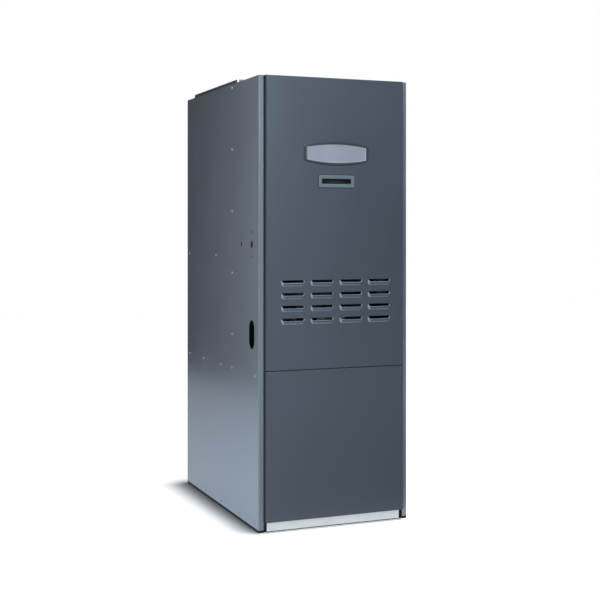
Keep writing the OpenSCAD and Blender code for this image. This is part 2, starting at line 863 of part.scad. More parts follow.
module combustion_drum() {
    color("#8c8f90") at_cabinet() difference() {
        translate([0, hx_y, drum_z]) difference() {
            drum_solid(drum_r, drum_h, knuckle_r);
            translate([0, 0, drum_t]) drum_solid(drum_r - drum_t, drum_h - 2 * drum_t, knuckle_r - drum_t);
        }
        rod_z(uptake_r + fit_clear, drum_z + drum_h - 40, drum_z + drum_h + 1, 0, hx_y);
        rod_y(sleeve_r + sleeve_t + fit_clear, vest_y, hx_y, 0, burner_z);
        rod_y(port_r + fit_clear, vest_y, hx_y, 0, port_z);
    }
}

// Soft ceramic pot that holds the flame, open at the top
module chamber_liner() {
    z0 = drum_z + drum_t;
    color("#e6e1d6") at_cabinet() difference() {
        translate([0, hx_y, z0]) rotate_extrude() {
            square([liner_r - knuckle_r, liner_h]);
            translate([0, knuckle_r]) square([liner_r, liner_h - knuckle_r]);
            translate([liner_r - knuckle_r, knuckle_r]) circle(knuckle_r);
        }
        rod_z(liner_r - liner_t, z0 + liner_t, z0 + liner_h + 1, 0, hx_y);
        rod_y(sleeve_r + sleeve_t + 2, vest_y, hx_y, 0, burner_z);
    }
}

module radiator() {
    rear = hx_y + sqrt(pow(radiator_r, 2) - pow(flue_r, 2));
    color("#8c8f90") at_cabinet() difference() {
        union() {
            translate([0, hx_y, radiator_z]) drum_solid(radiator_r, radiator_h, knuckle_r);
            rod_z(uptake_r, drum_z + drum_h - 6, radiator_z + 5, 0, hx_y);
            for (s = [-1, 1]) rod_y(cleanout_r, vest_y - cleanout_out, hx_y, s * cleanout_x, flue_z);
        }
        translate([0, hx_y, radiator_z + drum_t])
            drum_solid(radiator_r - drum_t, radiator_h - 2 * drum_t, knuckle_r - drum_t);
        rod_z(uptake_r - drum_t, drum_z + drum_h - 7, radiator_z + 6, 0, hx_y);
        for (s = [-1, 1]) rod_y(cleanout_r - drum_t, vest_y - cleanout_out - 1, hx_y, s * cleanout_x, flue_z);
        rod_y(flue_r + fit_clear, hx_y, rear + 40, 0, flue_z);
    }
}

module flue_collar() {
    start = hx_y + sqrt(pow(radiator_r, 2) - pow(flue_r, 2)) - 6;
    end = cab_d + flue_l;
    color("#8c8f90") at_cabinet() difference() {
        union() {
            rod_y(flue_r, start, end, 0, flue_z);
            rod_y(flue_r + flue_bead, cab_d, cab_d + flue_bead, 0, flue_z);
        }
        rod_y(flue_r - sheet_t, start - 1, end + 1, 0, flue_z);
    }
}

// Two channels across the deck that carry the drum
module drum_rails() {
    rail_w = 34;
    rail_x = 150;
    reach = drum_r - knuckle_r - rail_w / 2 - 4;
    color(zinc) at_cabinet() for (s = [-1, 1]) translate([0, hx_y + s * reach, deck_z]) difference() {
        block([-rail_x, -rail_w / 2, 0], [rail_x, rail_w / 2, stand_h]);
        block([-rail_x - 1, -rail_w / 2 + drum_t, -1], [rail_x + 1, rail_w / 2 - drum_t, stand_h - drum_t]);
    }
}

module burner_sleeve() {
    y0 = vest_y + sheet_t;
    y1 = hx_y - sqrt(pow(drum_r, 2) - pow(sleeve_r + sleeve_t, 2)) + 3;
    color("#8c8f90") at_cabinet() difference() {
        union() {
            rod_y(sleeve_r + sleeve_t, y0, y1, 0, burner_z);
            rod_y(flange_r, y0, y0 + 4, 0, burner_z);
        }
        rod_y(sleeve_r, y0 - 1, y1 + 1, 0, burner_z);
        stud_holes(stud_r + fit_clear, y0 - 1, y0 + 5);
    }
}

// Two caps over the cleanout tubes, each with its wing nut
module cleanout_caps() {
    face = vest_y - cleanout_out;
    cap_r = cleanout_r + 5;
    color(zinc) at_cabinet() for (s = [-1, 1]) difference() {
        union() {
            rod_y(cap_r, face - 3, face + 6, s * cleanout_x, flue_z);
            rod_y(6, face - 12, face - 2, s * cleanout_x, flue_z);
            translate([s * cleanout_x, face, flue_z]) block([-18, -10, -2.5], [18, -5, 2.5]);
        }
        rod_y(cleanout_r + fit_clear, face, face + 7, s * cleanout_x, flue_z);
    }
}

module port_tube() {
    y1 = hx_y - sqrt(pow(drum_r, 2) - pow(port_r, 2)) + 4;
    color("#8c8f90") at_cabinet() difference() {
        union() {
            rod_y(port_r, port_y0, y1, 0, port_z);
            along_y(port_y0, port_y0 + 2) translate([0, port_z + 9])
                square([2 * port_r + 8, 2 * port_r + 26], center = true);
        }
        rod_y(port_r - drum_t, port_y0 - 1, y1 + 1, 0, port_z);
        rod_y(port_pin_r + fit_clear, port_y0 - 1, port_y0 + 3, 0, port_pin_z);
    }
}

module port_pivot() {
    color(zinc) at_cabinet() {
        rod_y(port_pin_r, port_y0 - 4, port_y0 + 6, 0, port_pin_z);
        rod_y(6, port_y0 - 6, port_y0 - cover_t - 3 * move_clear, 0, port_pin_z);
    }
}

// Swinging cover of the inspection port
module port_cover() {
    y1 = port_y0 - move_clear;
    y0 = y1 - cover_t;
    color(zinc) at_cabinet() difference() {
        union() {
            rod_y(port_r + 4, y0, y1, 0, port_z);
            block([-7, y0, port_z], [7, y1, port_pin_z]);
            rod_y(7, y0, y1, 0, port_pin_z);
            block([-2, y0 - 9, port_z - port_r + 2], [2, y1, port_z - port_r + 14]);
        }
        rod_y(port_pin_r + run_clear, y0 - 1, y1 + 1, 0, port_pin_z);
    }
}

module burner_gasket() {
    y0 = vest_y - gasket_t;
    color("#e6e1d6") at_cabinet() difference() {
        rod_y(flange_r, y0, vest_y, 0, burner_z);
        rod_y(blast_r + 3, y0 - 1, vest_y + 1, 0, burner_z);
        stud_holes(stud_r + fit_clear, y0 - 1, vest_y + 1);
    }
}

module burner_flange() {
    color("#9a9c9d") at_cabinet() difference() {
        rod_y(flange_r, plate_y, plate_y + flange_t, 0, burner_z);
        rod_y(blast_r + fit_clear, plate_y - 1, plate_y + flange_t + 1, 0, burner_z);
        stud_holes(stud_r + fit_clear, plate_y - 1, plate_y + flange_t + 1);
    }
}

// Four studs through the flange, each with its hex nut
module burner_studs() {
    nut_h = 7;
    color(zinc) at_cabinet() for (p = stud_places()) {
        rod_y(stud_r, plate_y - 16, vest_y + sheet_t + 4, p[0], p[1]);
        translate([p[0], plate_y - nut_h, p[1]]) rotate([-90, 0, 0]) cylinder(r = 7.5, h = nut_h, $fn = 6);
    }
}

// Outline of the burner's fan housing round the rotor axis, drawn in by an inset
function burner_scroll(inset) = concat(
    [for (i = [0 : 28]) let (
        a = duct_angle - i * (270 + duct_angle) / 28,
        r = scroll_r0 + (duct_top - scroll_r0) * i / 28 - inset
    ) [r * cos(a), r * sin(a)]],
    [[socket_y - rotor_y - inset, duct_top - inset], [socket_y - rotor_y - inset, duct_bottom + inset]]
);

// Windows between the hub and the rim for the burner's air, over a part of each third turn
module air_windows(r0, r1, span) {
    for (a = [30 : 120 : 270]) rotate(a) intersection() {
        difference() {
            circle(r1);
            circle(r0);
        }
        polygon([[0, 0], [2 * r1, 0], [2 * r1 * cos(span / 2), 2 * r1 * sin(span / 2)],
            [2 * r1 * cos(span), 2 * r1 * sin(span)]]);
    }
}

module burner_housing() {
    hw = housing_hw;
    wall = housing_t;
    color("#6f7376") at_cabinet() difference() {
        union() {
            translate([0, rotor_y, rotor_z]) along_x(-hw, hw) polygon(burner_scroll(0));
            rod_y(blast_r + 6, socket_y - 0.5, plate_y, 0, burner_z);
            rod_y(blast_r + 14, plate_y - 5, plate_y, 0, burner_z);
            hinge_lugs(igniter_y0 + 4);
            hinge_lugs(igniter_y0 + igniter_l - 14);
        }
        translate([0, rotor_y, rotor_z]) along_x(-hw + wall, hw - wall) polygon(burner_scroll(wall));
        rod_y(blast_r + fit_clear, socket_y - wall - 1, plate_y + 1, 0, burner_z);
        rod_x(bfan_r + 3, hw - wall - 1, hw + 1, rotor_y, rotor_z);
        rod_x(pump_hub_r - 8, -hw - 1, -hw + wall + 1, rotor_y, rotor_z);
        translate([0, rotor_y, rotor_z]) along_x(-hw - 1, -hw + wall + 1)
            air_windows(pump_hub_r + 5, bfan_r - 5, 62);
        block([-38, igniter_y0 + 18, igniter_z - wall - 1], [30, igniter_y0 + 70, igniter_z + 1]);
        rod_x(line_r + 2 + fit_clear, -hw - 1, -hw + wall + 1, nozzle_y, burner_z);
        rod_y(pin_r + fit_clear, igniter_y0 - 2, igniter_y0 + igniter_l + 2, hinge_x, hinge_z);
    }
}

// A hinge knuckle on the burner housing's right edge
module hinge_lugs(y) {
    rod_y(hinge_r, y, y + 10, hinge_x, hinge_z);
    block([housing_hw - 2, y, hinge_z - 18], [hinge_x, y + 10, igniter_z]);
    block([hinge_x - hinge_r, y, hinge_z - 18], [hinge_x + hinge_r, y + 10, hinge_z]);
}

module blast_tube() {
    color("#9a9c9d") at_cabinet() difference() {
        rod_y(blast_r, blast_y0, blast_y1, 0, burner_z);
        rod_y(blast_r - blast_t, blast_y0 - 1, blast_y1 + 1, 0, burner_z);
    }
}

// Flame retention head: a slotted cone inside the end of the blast tube
module retention_head() {
    r = blast_r - blast_t - fit_clear;
    hole = 22;
    color("#7b7d7e") at_cabinet() translate([0, blast_y1 - 22, burner_z]) rotate([-90, 0, 0]) difference() {
        rotate_extrude() polygon([[r - 2, 0], [r, 0], [r, 20], [hole, 8], [hole, 6], [r - 2, 17]]);
        for (a = [0 : 45 : 315]) rotate(a) block([hole + 6, -2, -1], [r - 5, 2, 22]);
    }
}

// Nozzle line with its adapter, nozzle and centring spider
module nozzle_line() {
    y1 = blast_y1 - 34;
    x0 = -housing_hw - 14;
    color("#b8935a") at_cabinet() {
        rod_y(5, nozzle_y, y1, 0, burner_z);
        rod_x(line_r + 2, x0, 0, nozzle_y, burner_z);
        translate([x0 - 10, nozzle_y, burner_z]) rotate([0, 90, 0]) cylinder(r = 8, h = 10.5, $fn = 6);
        translate([0, y1 - 22, burner_z]) rotate([-90, 0, 0]) cylinder(r = 9.5, h = 16, $fn = 6);
        translate([0, y1, burner_z]) rotate([-90, 0, 0]) cylinder(r1 = 8, r2 = 4, h = 12);
        for (a = [90, 210, 330]) translate([0, y1 - 70, burner_z]) rotate([0, a, 0])
            block([0, 0, -1], [blast_r - blast_t - move_clear, 6, 1]);
    }
}

// Two electrodes: ceramic rods with bent wire tips
module electrodes() {
    y1 = blast_y1 - 42;
    y0 = y1 - electrode_l;
    z = burner_z + 20;
    wire_end_r = 1.4;
    color("#d9d3c4") at_cabinet() for (s = [-1, 1]) {
        rod_y(electrode_r, y0, y1, s * electrode_x, z);
        rod_y(wire_end_r, y1 - 1, y1 + 14, s * electrode_x, z);
        rod_y(wire_end_r, y0 - 18, y0 + 1, s * electrode_x, z);
    }
    color("#7b7d7e") at_cabinet()
        block([-electrode_x - 8, y1 - 44, burner_z + 5], [electrode_x + 8, y1 - 34, z - electrode_r + 0.1]);
}

module burner_motor() {
    x0 = housing_hw;
    x1 = x0 + bmotor_l;
    color("#3c4248") at_cabinet() difference() {
        union() {
            rod_x(bfan_r + 12, x0, x0 + 4, rotor_y, rotor_z);
            rod_x(bmotor_r, x0 + 3, x1 - 12, rotor_y, rotor_z);
            translate([x1 - 12, rotor_y, rotor_z]) rotate([0, 90, 0])
                cylinder(r1 = bmotor_r, r2 = bmotor_r - 14, h = 12);
            translate([0, rotor_y, rotor_z + bmotor_r]) block([x0 + 26, -22, -8], [x1 - 22, 22, 18]);
        }
        rod_x(bshaft_r + run_clear, x0 - 1, x1 - shaft_end, rotor_y, rotor_z);
        for (a = [0 : 30 : 330]) translate([x1 - 9, rotor_y, rotor_z]) rotate([a, 0, 0])
            block([0, -3, 24], [20, 3, bmotor_r - 22]);
    }
}

module burner_shaft() {
    color("#c5c8ca") at_cabinet() rod_x(bshaft_r, -8, housing_hw + bmotor_l - shaft_end - 2, rotor_y, rotor_z);
}

// Outline of one forward-curved blade between two radii
function blade_points(r0, r1, lean, thick) = concat(
    [for (i = [0 : 4]) let (r = r0 + (r1 - r0) * i / 4, a = lean * pow(i / 4, blade_curl)) [r * cos(a), r * sin(a)]],
    [for (i = [4 : -1 : 0]) let (
        r = r0 + (r1 - r0) * i / 4,
        a = lean * pow(i / 4, blade_curl) + thick / r * 180 / PI
    ) [r * cos(a), r * sin(a)]]
);

// A squirrel cage round the X axis: blades, end rings and a hub plate
module fan_cage(r, depth, x0, x1, blades, thick, hub_x, rings) {
    along_x(x0 + 0.5, x1 - 0.5) for (i = [0 : blades - 1])
        rotate(i * 360 / blades) polygon(blade_points(r - depth, r - 0.6, blade_lean, thick));
    for (x = rings) along_x(x, x + ring_t) difference() {
        circle(r);
        circle(r - depth * 0.55);
    }
    along_x(hub_x, hub_x + ring_t) circle(r);
}

module burner_fan() {
    x1 = housing_hw - housing_t - 4;
    x0 = -x1;
    color("#a7abad") at_cabinet() translate([0, rotor_y, rotor_z]) difference() {
        union() {
            fan_cage(bfan_r, 14, x0, x1, bfan_blades, 1, x1 - ring_t, [x0]);
            rod_x(bhub_r, x1 - 30, x1, 0, 0);
        }
        rod_x(bshaft_r + run_clear, x0 - 1, x1 + 1, 0, 0);
    }
}

// Flexible coupling between the motor's shaft and the pump
module drive_coupling() {
    x0 = -housing_hw - 6;
    color("#2b2d30") at_cabinet() difference() {
        union() {
            rod_x(7, x0, 4, rotor_y, rotor_z);
            rod_x(11, -14, 4, rotor_y, rotor_z);
            rod_x(11, x0, x0 + 14, rotor_y, rotor_z);
            rod_x(pump_shaft_r, x0 - 24, x0, rotor_y, rotor_z);
        }
        rod_x(bshaft_r + run_clear, -9, 5, rotor_y, rotor_z);
    }
}

module fuel_pump() {
    x1 = -housing_hw;
    x0 = pump_x;
    far = x0 - pump_w;
    color("#8f9294") at_cabinet() difference() {
        union() {
            rod_x(pump_hub_r, x0, x1, rotor_y, rotor_z);
            rod_x(pump_hub_r - 8 - fit_clear, x1 - 1, x1 + housing_t, rotor_y, rotor_z);
            translate([0, rotor_y, rotor_z]) along_x(far + 16, x0) rounded(pump_d, pump_h, 8);
            translate([0, rotor_y, rotor_z]) along_x(far, far + 17) rounded(pump_d - 8, pump_h - 8, 8);
            for (sy = [-1, 1], sz = [-1, 1])
                translate([far - 3, rotor_y + sy * (pump_d / 2 - 12), rotor_z + sz * (pump_h / 2 - 12)])
                    rotate([0, 90, 0]) cylinder(r = 4.6, h = 4, $fn = 6);
            rod_z(8, rotor_z + pump_h / 2 - 1, rotor_z + pump_h / 2 + 4, outlet_x, outlet_y);
        }
        rod_x(12, x1 - 8, x1 + housing_t + 1, rotor_y, rotor_z);
        rod_x(pump_shaft_r + run_clear, x1 - 32, x1, rotor_y, rotor_z);
        rod_z(line_r + fit_clear, rotor_z + pump_h / 2 - 4, rotor_z + pump_h / 2 + 5, outlet_x, outlet_y);
        rod_x(inlet_r, far - 1, far + inlet_l, rotor_y, rotor_z);
    }
}

// Copper line from the pump's outlet to the nozzle line
module fuel_line() {
    x = outlet_x;
    y = outlet_y;
    turn = 12;
    color("#b87348") at_cabinet() {
        rod_z(line_r, rotor_z + pump_h / 2 - 3, burner_z - turn, x, y);
        translate([x, y + turn, burner_z - turn]) rotate([0, -90, 0]) mirror([0, 1, 0]) elbow(line_r, turn);
        rod_y(line_r, y + turn, nozzle_y - turn, x, burner_z);
        translate([x + turn, nozzle_y - turn, burner_z]) mirror([1, 0, 0]) elbow(line_r, turn);
        rod_x(line_r, x + turn, -housing_hw - 24, nozzle_y, burner_z);
    }
}

// Rotating shutter over the air windows, with a tab to set it by
module air_shutter() {
    x1 = -housing_hw - move_clear;
    x0 = x1 - 1.5;
    color("#a7abad") at_cabinet() translate([0, rotor_y, rotor_z]) difference() {
        union() {
            along_x(x0, x1) circle(bfan_r + 5);
            rotate([200, 0, 0]) block([x0 - 8, -5, bfan_r - 6], [x1, 5, bfan_r + 4]);
        }
        along_x(x0 - 1, x1 + 1) circle(pump_hub_r + move_clear);
        along_x(x0 - 1, x1 + 1) air_windows(pump_hub_r + 5, bfan_r - 5, 58);
    }
}

// Ignition transformer on its hinged base plate
module igniter() {
    z0 = igniter_z + move_clear;
    y1 = igniter_y0 + igniter_l;
    color("#3a3d40") at_cabinet() difference() {
        union() {
            block([-housing_hw, igniter_y0, z0], [housing_hw, y1, z0 + 3]);
            translate([0, (igniter_y0 + y1) / 2, z0 + 2]) linear_extrude(igniter_h - 2)
                rounded(2 * housing_hw - 8, igniter_l - 8, 6);
            rod_y(hinge_r, igniter_y0 + 15, y1 - 15, hinge_x, hinge_z);
            block([housing_hw - 3, igniter_y0 + 15, z0], [hinge_x, y1 - 15, z0 + 3]);
            for (s = [-1, 1]) rod_z(7, z0 - 20, z0 + 1, s * 16, igniter_y0 + 50);
        }
        rod_y(pin_r + run_clear, igniter_y0 - 1, y1 + 1, hinge_x, hinge_z);
    }
}

module igniter_pin() {
    color(zinc) at_cabinet() rod_y(pin_r, igniter_y0 + 1, igniter_y0 + igniter_l - 1, hinge_x, hinge_z);
}

// Burner control on its wiring box, with the place of its reset button
module burner_control() {
    x1 = control_x;
    x0 = x1 - control_d;
    color("#4a4f55") at_cabinet() difference() {
        union() {
            block([x0, control_y, control_z], [x1, control_y + control_w, control_z + control_w]);
            translate([0, control_y + control_w / 2, control_z + control_w / 2])
                along_x(x0 - control_dome, x0) rounded(control_w - 8, control_w - 8, 6);
            block([x1 - 1, control_y + 20, control_z], [-housing_hw, control_y + control_w, igniter_z - 2]);
        }
        rod_y(button_r + move_clear, control_y - 1, control_y + 16, reset_x, reset_z);
        rod_x(conduit_r + fit_clear, x0 - control_dome - 1, x0 - control_dome + 6,
            control_y + control_w / 2, control_z + control_w / 2);
    }
}

module reset_button() {
    color("#b32a24") at_cabinet() rod_y(button_r, control_y - 2, control_y + 12, reset_x, reset_z);
}

module limit_control() {
    y0 = vest_y - limit_d;
    color("#b9b6ab") at_cabinet() difference() {
        union() {
            along_y(y0 + 6, vest_y) translate([limit_x, limit_z]) square([limit_w, limit_h], center = true);
            along_y(y0, y0 + 7) translate([limit_x, limit_z]) rounded(limit_w - 6, limit_h - 6, 5);
        }
        rod_y(stem_r + run_clear, y0 - 1, y0 + 12, limit_x, dial_z);
        rod_y(button_r + move_clear, y0 - 1, y0 + 14, limit_x, button_z);
        rod_y(button_r + 4, vest_y - 6, vest_y + 1, limit_x, limit_z);
        translate([limit_x - limit_w / 2, 0, 0]) rod_x(conduit_r + fit_clear, -1, 6, vest_y - 22, limit_z);
    }
}

// Round dial with a pointer ridge, turning on its stem
module limit_dial() {
    y1 = vest_y - limit_d - move_clear;
    color("#e2e3e0") at_cabinet() translate([limit_x, 0, dial_z]) {
        rod_y(dial_r, y1 - 4, y1, 0, 0);
        rod_y(10, y1 - 10, y1 - 3, 0, 0);
        block([-2, y1 - 12, -10], [2, y1 - 3, 10]);
        rod_y(stem_r, y1 - 1, y1 + 10, 0, 0);
    }
}

module fan_button() {
    y0 = vest_y - limit_d;
    color("#eceae4") at_cabinet() {
        rod_y(button_r, y0 - 6, y0 + 4, limit_x, button_z);
        rod_y(button_r + 2, y0 - 12, y0 - 6, limit_x, button_z);
    }
}

// Sensing element of the fan and limit control, reaching into the warm air
module limit_probe() {
    y0 = vest_y - 6;
    y1 = vest_y + sheet_t + probe_l;
    color("#b8bcbe") at_cabinet() {
        rod_y(button_r + 4 - fit_clear, y0 + 0.5, vest_y + sheet_t + 6, limit_x, limit_z);
        rod_y(4, vest_y, y1, limit_x, limit_z);
        for (i = [0 : 6]) translate([limit_x, vest_y + sheet_t + 14 + i * 8, limit_z])
            rotate([-90, 0, 0]) cylinder(r = 8, h = 3);
    }
}

module junction_box() {
    x0 = -inner_w;
    x1 = x0 + jbox_x;
    wall = 1.5;
    color(zinc) at_cabinet() difference() {
        block([x0, jbox_y0, jbox_z0], [x1, jbox_y0 + jbox_y, jbox_z0 + jbox_z]);
        block([x0 + wall, jbox_y0 + wall, jbox_z0 + wall],
            [x1 + 1, jbox_y0 + jbox_y - wall, jbox_z0 + jbox_z - wall]);
        rod_x(entry_r + 0.5, x0 - 1, x0 + wall + 1, entry_y, entry_z);
        box_screw_holes();
        rod_z(conduit_r + fit_clear, jbox_z0 - 1, jbox_z0 + wall + 1, conduit_x, entry_y);
        rod_z(conduit_r + fit_clear, jbox_z0 + jbox_z - wall - 1, jbox_z0 + jbox_z + 1, conduit_x, entry_y);
    }
}

module junction_cover() {
    x0 = -inner_w + jbox_x;
    color(zinc) at_cabinet() {
        block([x0, jbox_y0, jbox_z0], [x0 + 1.2, jbox_y0 + jbox_y, jbox_z0 + jbox_z]);
        for (s = [-1, 1]) rod_x(3.5, x0 + 1, x0 + 3, entry_y, entry_z + s * (jbox_z / 2 - 10));
    }
}

// Flexible conduit from the electrical box down to the burner control
module burner_conduit() {
    r = conduit_r;
    turn = conduit_bend;
    z = control_z + control_w / 2;
    y = control_y + control_w / 2;
    x_end = control_x - control_d - control_dome + 5;
    color("#a9adb0") at_cabinet() {
        rod_z(r, z + turn, jbox_z0 + 3, conduit_x, entry_y);
        translate([conduit_x, entry_y + turn, z + turn]) rotate([0, 90, 0]) mirror([0, 1, 0]) elbow(r, turn);
        rod_y(r, entry_y + turn, y - turn, conduit_x, z);
        translate([conduit_x + turn, y - turn, z]) mirror([1, 0, 0]) elbow(r, turn);
        rod_x(r, conduit_x + turn, x_end, y, z);
    }
}

// Flexible conduit from the electrical box up and across to the fan and limit control
module limit_conduit() {
    r = conduit_r;
    turn = conduit_bend;
    y = vest_y - 22;
    color("#a9adb0") at_cabinet() {
        rod_z(r, jbox_z0 + jbox_z - 3, limit_z - turn, conduit_x, entry_y);
        translate([conduit_x, entry_y + turn, limit_z - turn]) rotate([0, -90, 0])
            mirror([0, 1, 0]) elbow(r, turn);
        rod_y(r, entry_y + turn, y - turn, conduit_x, limit_z);
        translate([conduit_x + turn, y - turn, limit_z]) mirror([1, 0, 0]) elbow(r, turn);
        rod_x(r, conduit_x + turn, limit_x - limit_w / 2 + 5, y, limit_z);
    }
}

// Outline of the blower housing round its axis, drawn in by an inset
function blower_scroll(inset, top) = concat(
    [for (i = [0 : 32]) let (
        a = scroll_start + i * (360 - scroll_start) / 32,
        r = scroll_r + scroll_growth * i / 32 - inset
    ) [r * cos(a), r * sin(a)]],
    [[outlet_y1 - inset, top], [outlet_y0 + inset, top]]
);

module blower_housing() {
    color(zinc) at_cabinet() translate([0, blower_y, wheel_z]) {
        difference() {
            union() {
                along_x(-scroll_hw, scroll_hw) polygon(blower_scroll(0, scroll_top));
                block([-scroll_hw - outlet_lap, outlet_y0 - outlet_lap, scroll_top - sheet_t],
                    [scroll_hw + outlet_lap, outlet_y1 + outlet_lap, scroll_top]);
            }
            along_x(-scroll_hw + sheet_t, scroll_hw - sheet_t) polygon(blower_scroll(sheet_t, scroll_top + 1));
            rod_x(inlet_ring_r, -scroll_hw - 1, scroll_hw + 1, 0, 0);
        }
        inlet_rings();
    }
}

// The two flared inlets, turned in towards the wheel
module inlet_rings() {
    for (s = [-1, 1]) translate([s * scroll_hw, 0, 0]) rotate([0, s * 90, 0]) difference() {
        translate([0, 0, -6]) cylinder(r = inlet_ring_r + 1.5, h = 6);
        translate([0, 0, -7]) cylinder(r = inlet_ring_r, h = 9);
    }
}

module blower_wheel() {
    hw = wheel_w / 2;
    color("#9fa3a6") at_cabinet() translate([0, blower_y, wheel_z]) difference() {
        union() {
            fan_cage(wheel_r, blade_d, -hw, hw, wheel_blades, blade_t, -ring_t / 2, [-hw, hw - ring_t]);
            rod_x(hub_r, -hub_l, 1, 0, 0);
        }
        rod_x(shaft_r + run_clear, -hw, hw, 0, 0);
    }
}

module blower_motor() {
    x1 = motor_x + motor_l;
    color("#3c4248") at_cabinet() translate([0, blower_y, wheel_z]) difference() {
        union() {
            rod_x(motor_r, motor_x + 12, x1 - 12, 0, 0);
            translate([motor_x + 12, 0, 0]) rotate([0, -90, 0])
                cylinder(r1 = motor_r, r2 = motor_r - motor_crown, h = 12);
            translate([x1 - 12, 0, 0]) rotate([0, 90, 0])
                cylinder(r1 = motor_r, r2 = motor_r - motor_crown, h = 12);
        }
        rod_x(shaft_r + run_clear, motor_x - 1, x1 - shaft_end, 0, 0);
    }
}

module blower_shaft() {
    color("#c5c8ca") at_cabinet() rod_x(shaft_r, -hub_l - 6, motor_x + motor_l - shaft_end - 2, blower_y, wheel_z);
}

// Belly band round the motor with three arms to the housing's side
module motor_mount() {
    band_x = scroll_hw + 5;
    band_w = 14;
    arm_r = inlet_ring_r + 10;
    color(zinc) at_cabinet() translate([0, blower_y, wheel_z]) difference() {
        union() {
            rod_x(motor_r + 2.5, band_x, band_x + band_w, 0, 0);
            for (a = [30, 150, 270]) rotate([a, 0, 0]) {
                block([band_x + 4, 0, -5], [band_x + 7, arm_r, 5]);
                block([scroll_hw, arm_r - 3, -9], [band_x + 7, arm_r, 9]);
                block([scroll_hw, arm_r - 3, -9], [scroll_hw + 2, arm_r + 16, 9]);
            }
        }
        rod_x(motor_r + fit_clear, band_x - 1, band_x + band_w + 1, 0, 0);
    }
}

// Groove between two pleats of the filter, from its mouth to its fold
module pleat_groove(pitch) {
    half = pitch / 2 - media_t;
    polygon([[-half, filter_t + 1], [half, filter_t + 1], [0, media_t]]);
}

// Card frame with pleated media between its borders
module air_filter() {
    lap = filter_lap;
    y0 = return_y - lap;
    y1 = return_y + return_d + lap;
    pitch = return_d / filter_pleats;
    color("#c9c4b4") at_cabinet() difference() {
        block([-filter_x, y0, filter_z], [filter_x, y1, filter_z + filter_t]);
        along_x(-filter_x + lap, filter_x - lap) for (i = [0 : filter_pleats - 1])
            translate([return_y + (i + 0.5) * pitch, filter_z]) pleat_groove(pitch);
        along_x(-filter_x + lap, filter_x - lap) for (i = [1 : filter_pleats - 1])
            translate([return_y + i * pitch, filter_z + filter_t]) mirror([0, 1]) pleat_groove(pitch);
    }
}

left_side_panel();
right_side_panel();
back_panel();
top_panel();
base_pan();
kick_rail();
center_rail();
blower_deck();
vestibule_panel();
left_heat_shield();
right_heat_shield();
cabinet_screws();
door_clips();
upper_door();
handle_insert();
name_plate();
lower_door();
combustion_drum();
chamber_liner();
radiator();
flue_collar();
drum_rails();
burner_sleeve();
cleanout_caps();
port_tube();
port_pivot();
port_cover();
burner_gasket();
burner_flange();
burner_studs();
burner_housing();
blast_tube();
retention_head();
nozzle_line();
electrodes();
burner_motor();
burner_shaft();
burner_fan();
drive_coupling();
fuel_pump();
fuel_line();
air_shutter();
igniter();
igniter_pin();
burner_control();
reset_button();
limit_control();
limit_dial();
fan_button();
limit_probe();
junction_box();
junction_cover();
burner_conduit();
limit_conduit();
blower_housing();
blower_wheel();
blower_motor();
blower_shaft();
motor_mount();
air_filter();
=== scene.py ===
# Looks of an upflow oil furnace: blue-grey enamel, pressed louvres, a moulded finger pull and a bare plate,
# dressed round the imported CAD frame. Metres, the floor at z = 0, the doors facing -y.
import math

import bpy
import numpy as np
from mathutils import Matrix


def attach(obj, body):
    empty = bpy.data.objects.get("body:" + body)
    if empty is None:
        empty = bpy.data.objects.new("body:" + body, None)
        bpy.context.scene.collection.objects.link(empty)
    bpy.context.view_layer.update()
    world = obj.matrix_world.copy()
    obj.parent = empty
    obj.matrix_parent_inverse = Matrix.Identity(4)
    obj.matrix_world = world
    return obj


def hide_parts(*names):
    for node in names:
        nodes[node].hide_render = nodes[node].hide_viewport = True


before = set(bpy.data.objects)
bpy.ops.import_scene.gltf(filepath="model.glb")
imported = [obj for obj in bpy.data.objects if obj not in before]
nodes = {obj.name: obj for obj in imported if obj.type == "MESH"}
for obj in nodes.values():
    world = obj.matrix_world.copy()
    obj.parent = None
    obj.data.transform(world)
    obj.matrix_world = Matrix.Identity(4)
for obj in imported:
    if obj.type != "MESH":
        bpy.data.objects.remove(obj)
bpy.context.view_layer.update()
print("frame:", len(nodes), "nodes")

flangeY = -0.3937  # face of the cabinet's front flanges
sideX = -0.2667  # face of its left side


def toFrame(points):
    # millimetres, with y counted from the front flanges, to metres in the frame: add where the flanges are, divide
    return (np.asarray(points, float) + [0, flangeY * 1000, 0]) / 1000


# camera

cameraView = {
    "place": (-1.5365, -3.8169, 0.9786),
    "turn": -21.56,  # degrees, to the right of straight ahead
    "lens": 68.2,
    "shiftX": 0.029,
    "shiftY": -0.1188,
}


def placeCamera(view):
    data = bpy.data.cameras.new("studioCamera")
    data.lens, data.sensor_width = view["lens"], 36
    data.shift_x, data.shift_y = view["shiftX"], view["shiftY"]
    data.clip_end = 60
    camera = bpy.data.objects.new("studioCamera", data)
    camera.location = view["place"]
    camera.rotation_euler = (math.radians(90), 0, math.radians(view["turn"]))
    bpy.context.scene.collection.objects.link(camera)
    bpy.context.scene.camera = camera


placeCamera(cameraView)
print("camera placed")


# small tools for materials

def toLinear(hexText):
    # an sRGB hex colour as the linear numbers that shaders take
    part = np.array([int(hexText[i:i + 2], 16) for i in (1, 3, 5)]) / 255
    linear = np.where(part <= 0.04045, part / 12.92, ((part + 0.055) / 1.055) ** 2.4)
    return (*linear.tolist(), 1.0)


def addNode(tree, kind, settings=None, links=None):
    # one node: settings are properties or input values, links join its inputs to other nodes' outputs
    node = tree.nodes.new(kind)
    for key, value in (settings or {}).items():
        if isinstance(key, str) and key in node.bl_rna.properties:
            setattr(node, key, value)
        else:
            node.inputs[key].default_value = value
    for key, socket in (links or {}).items():
        tree.links.new(socket, node.inputs[key])
    return node


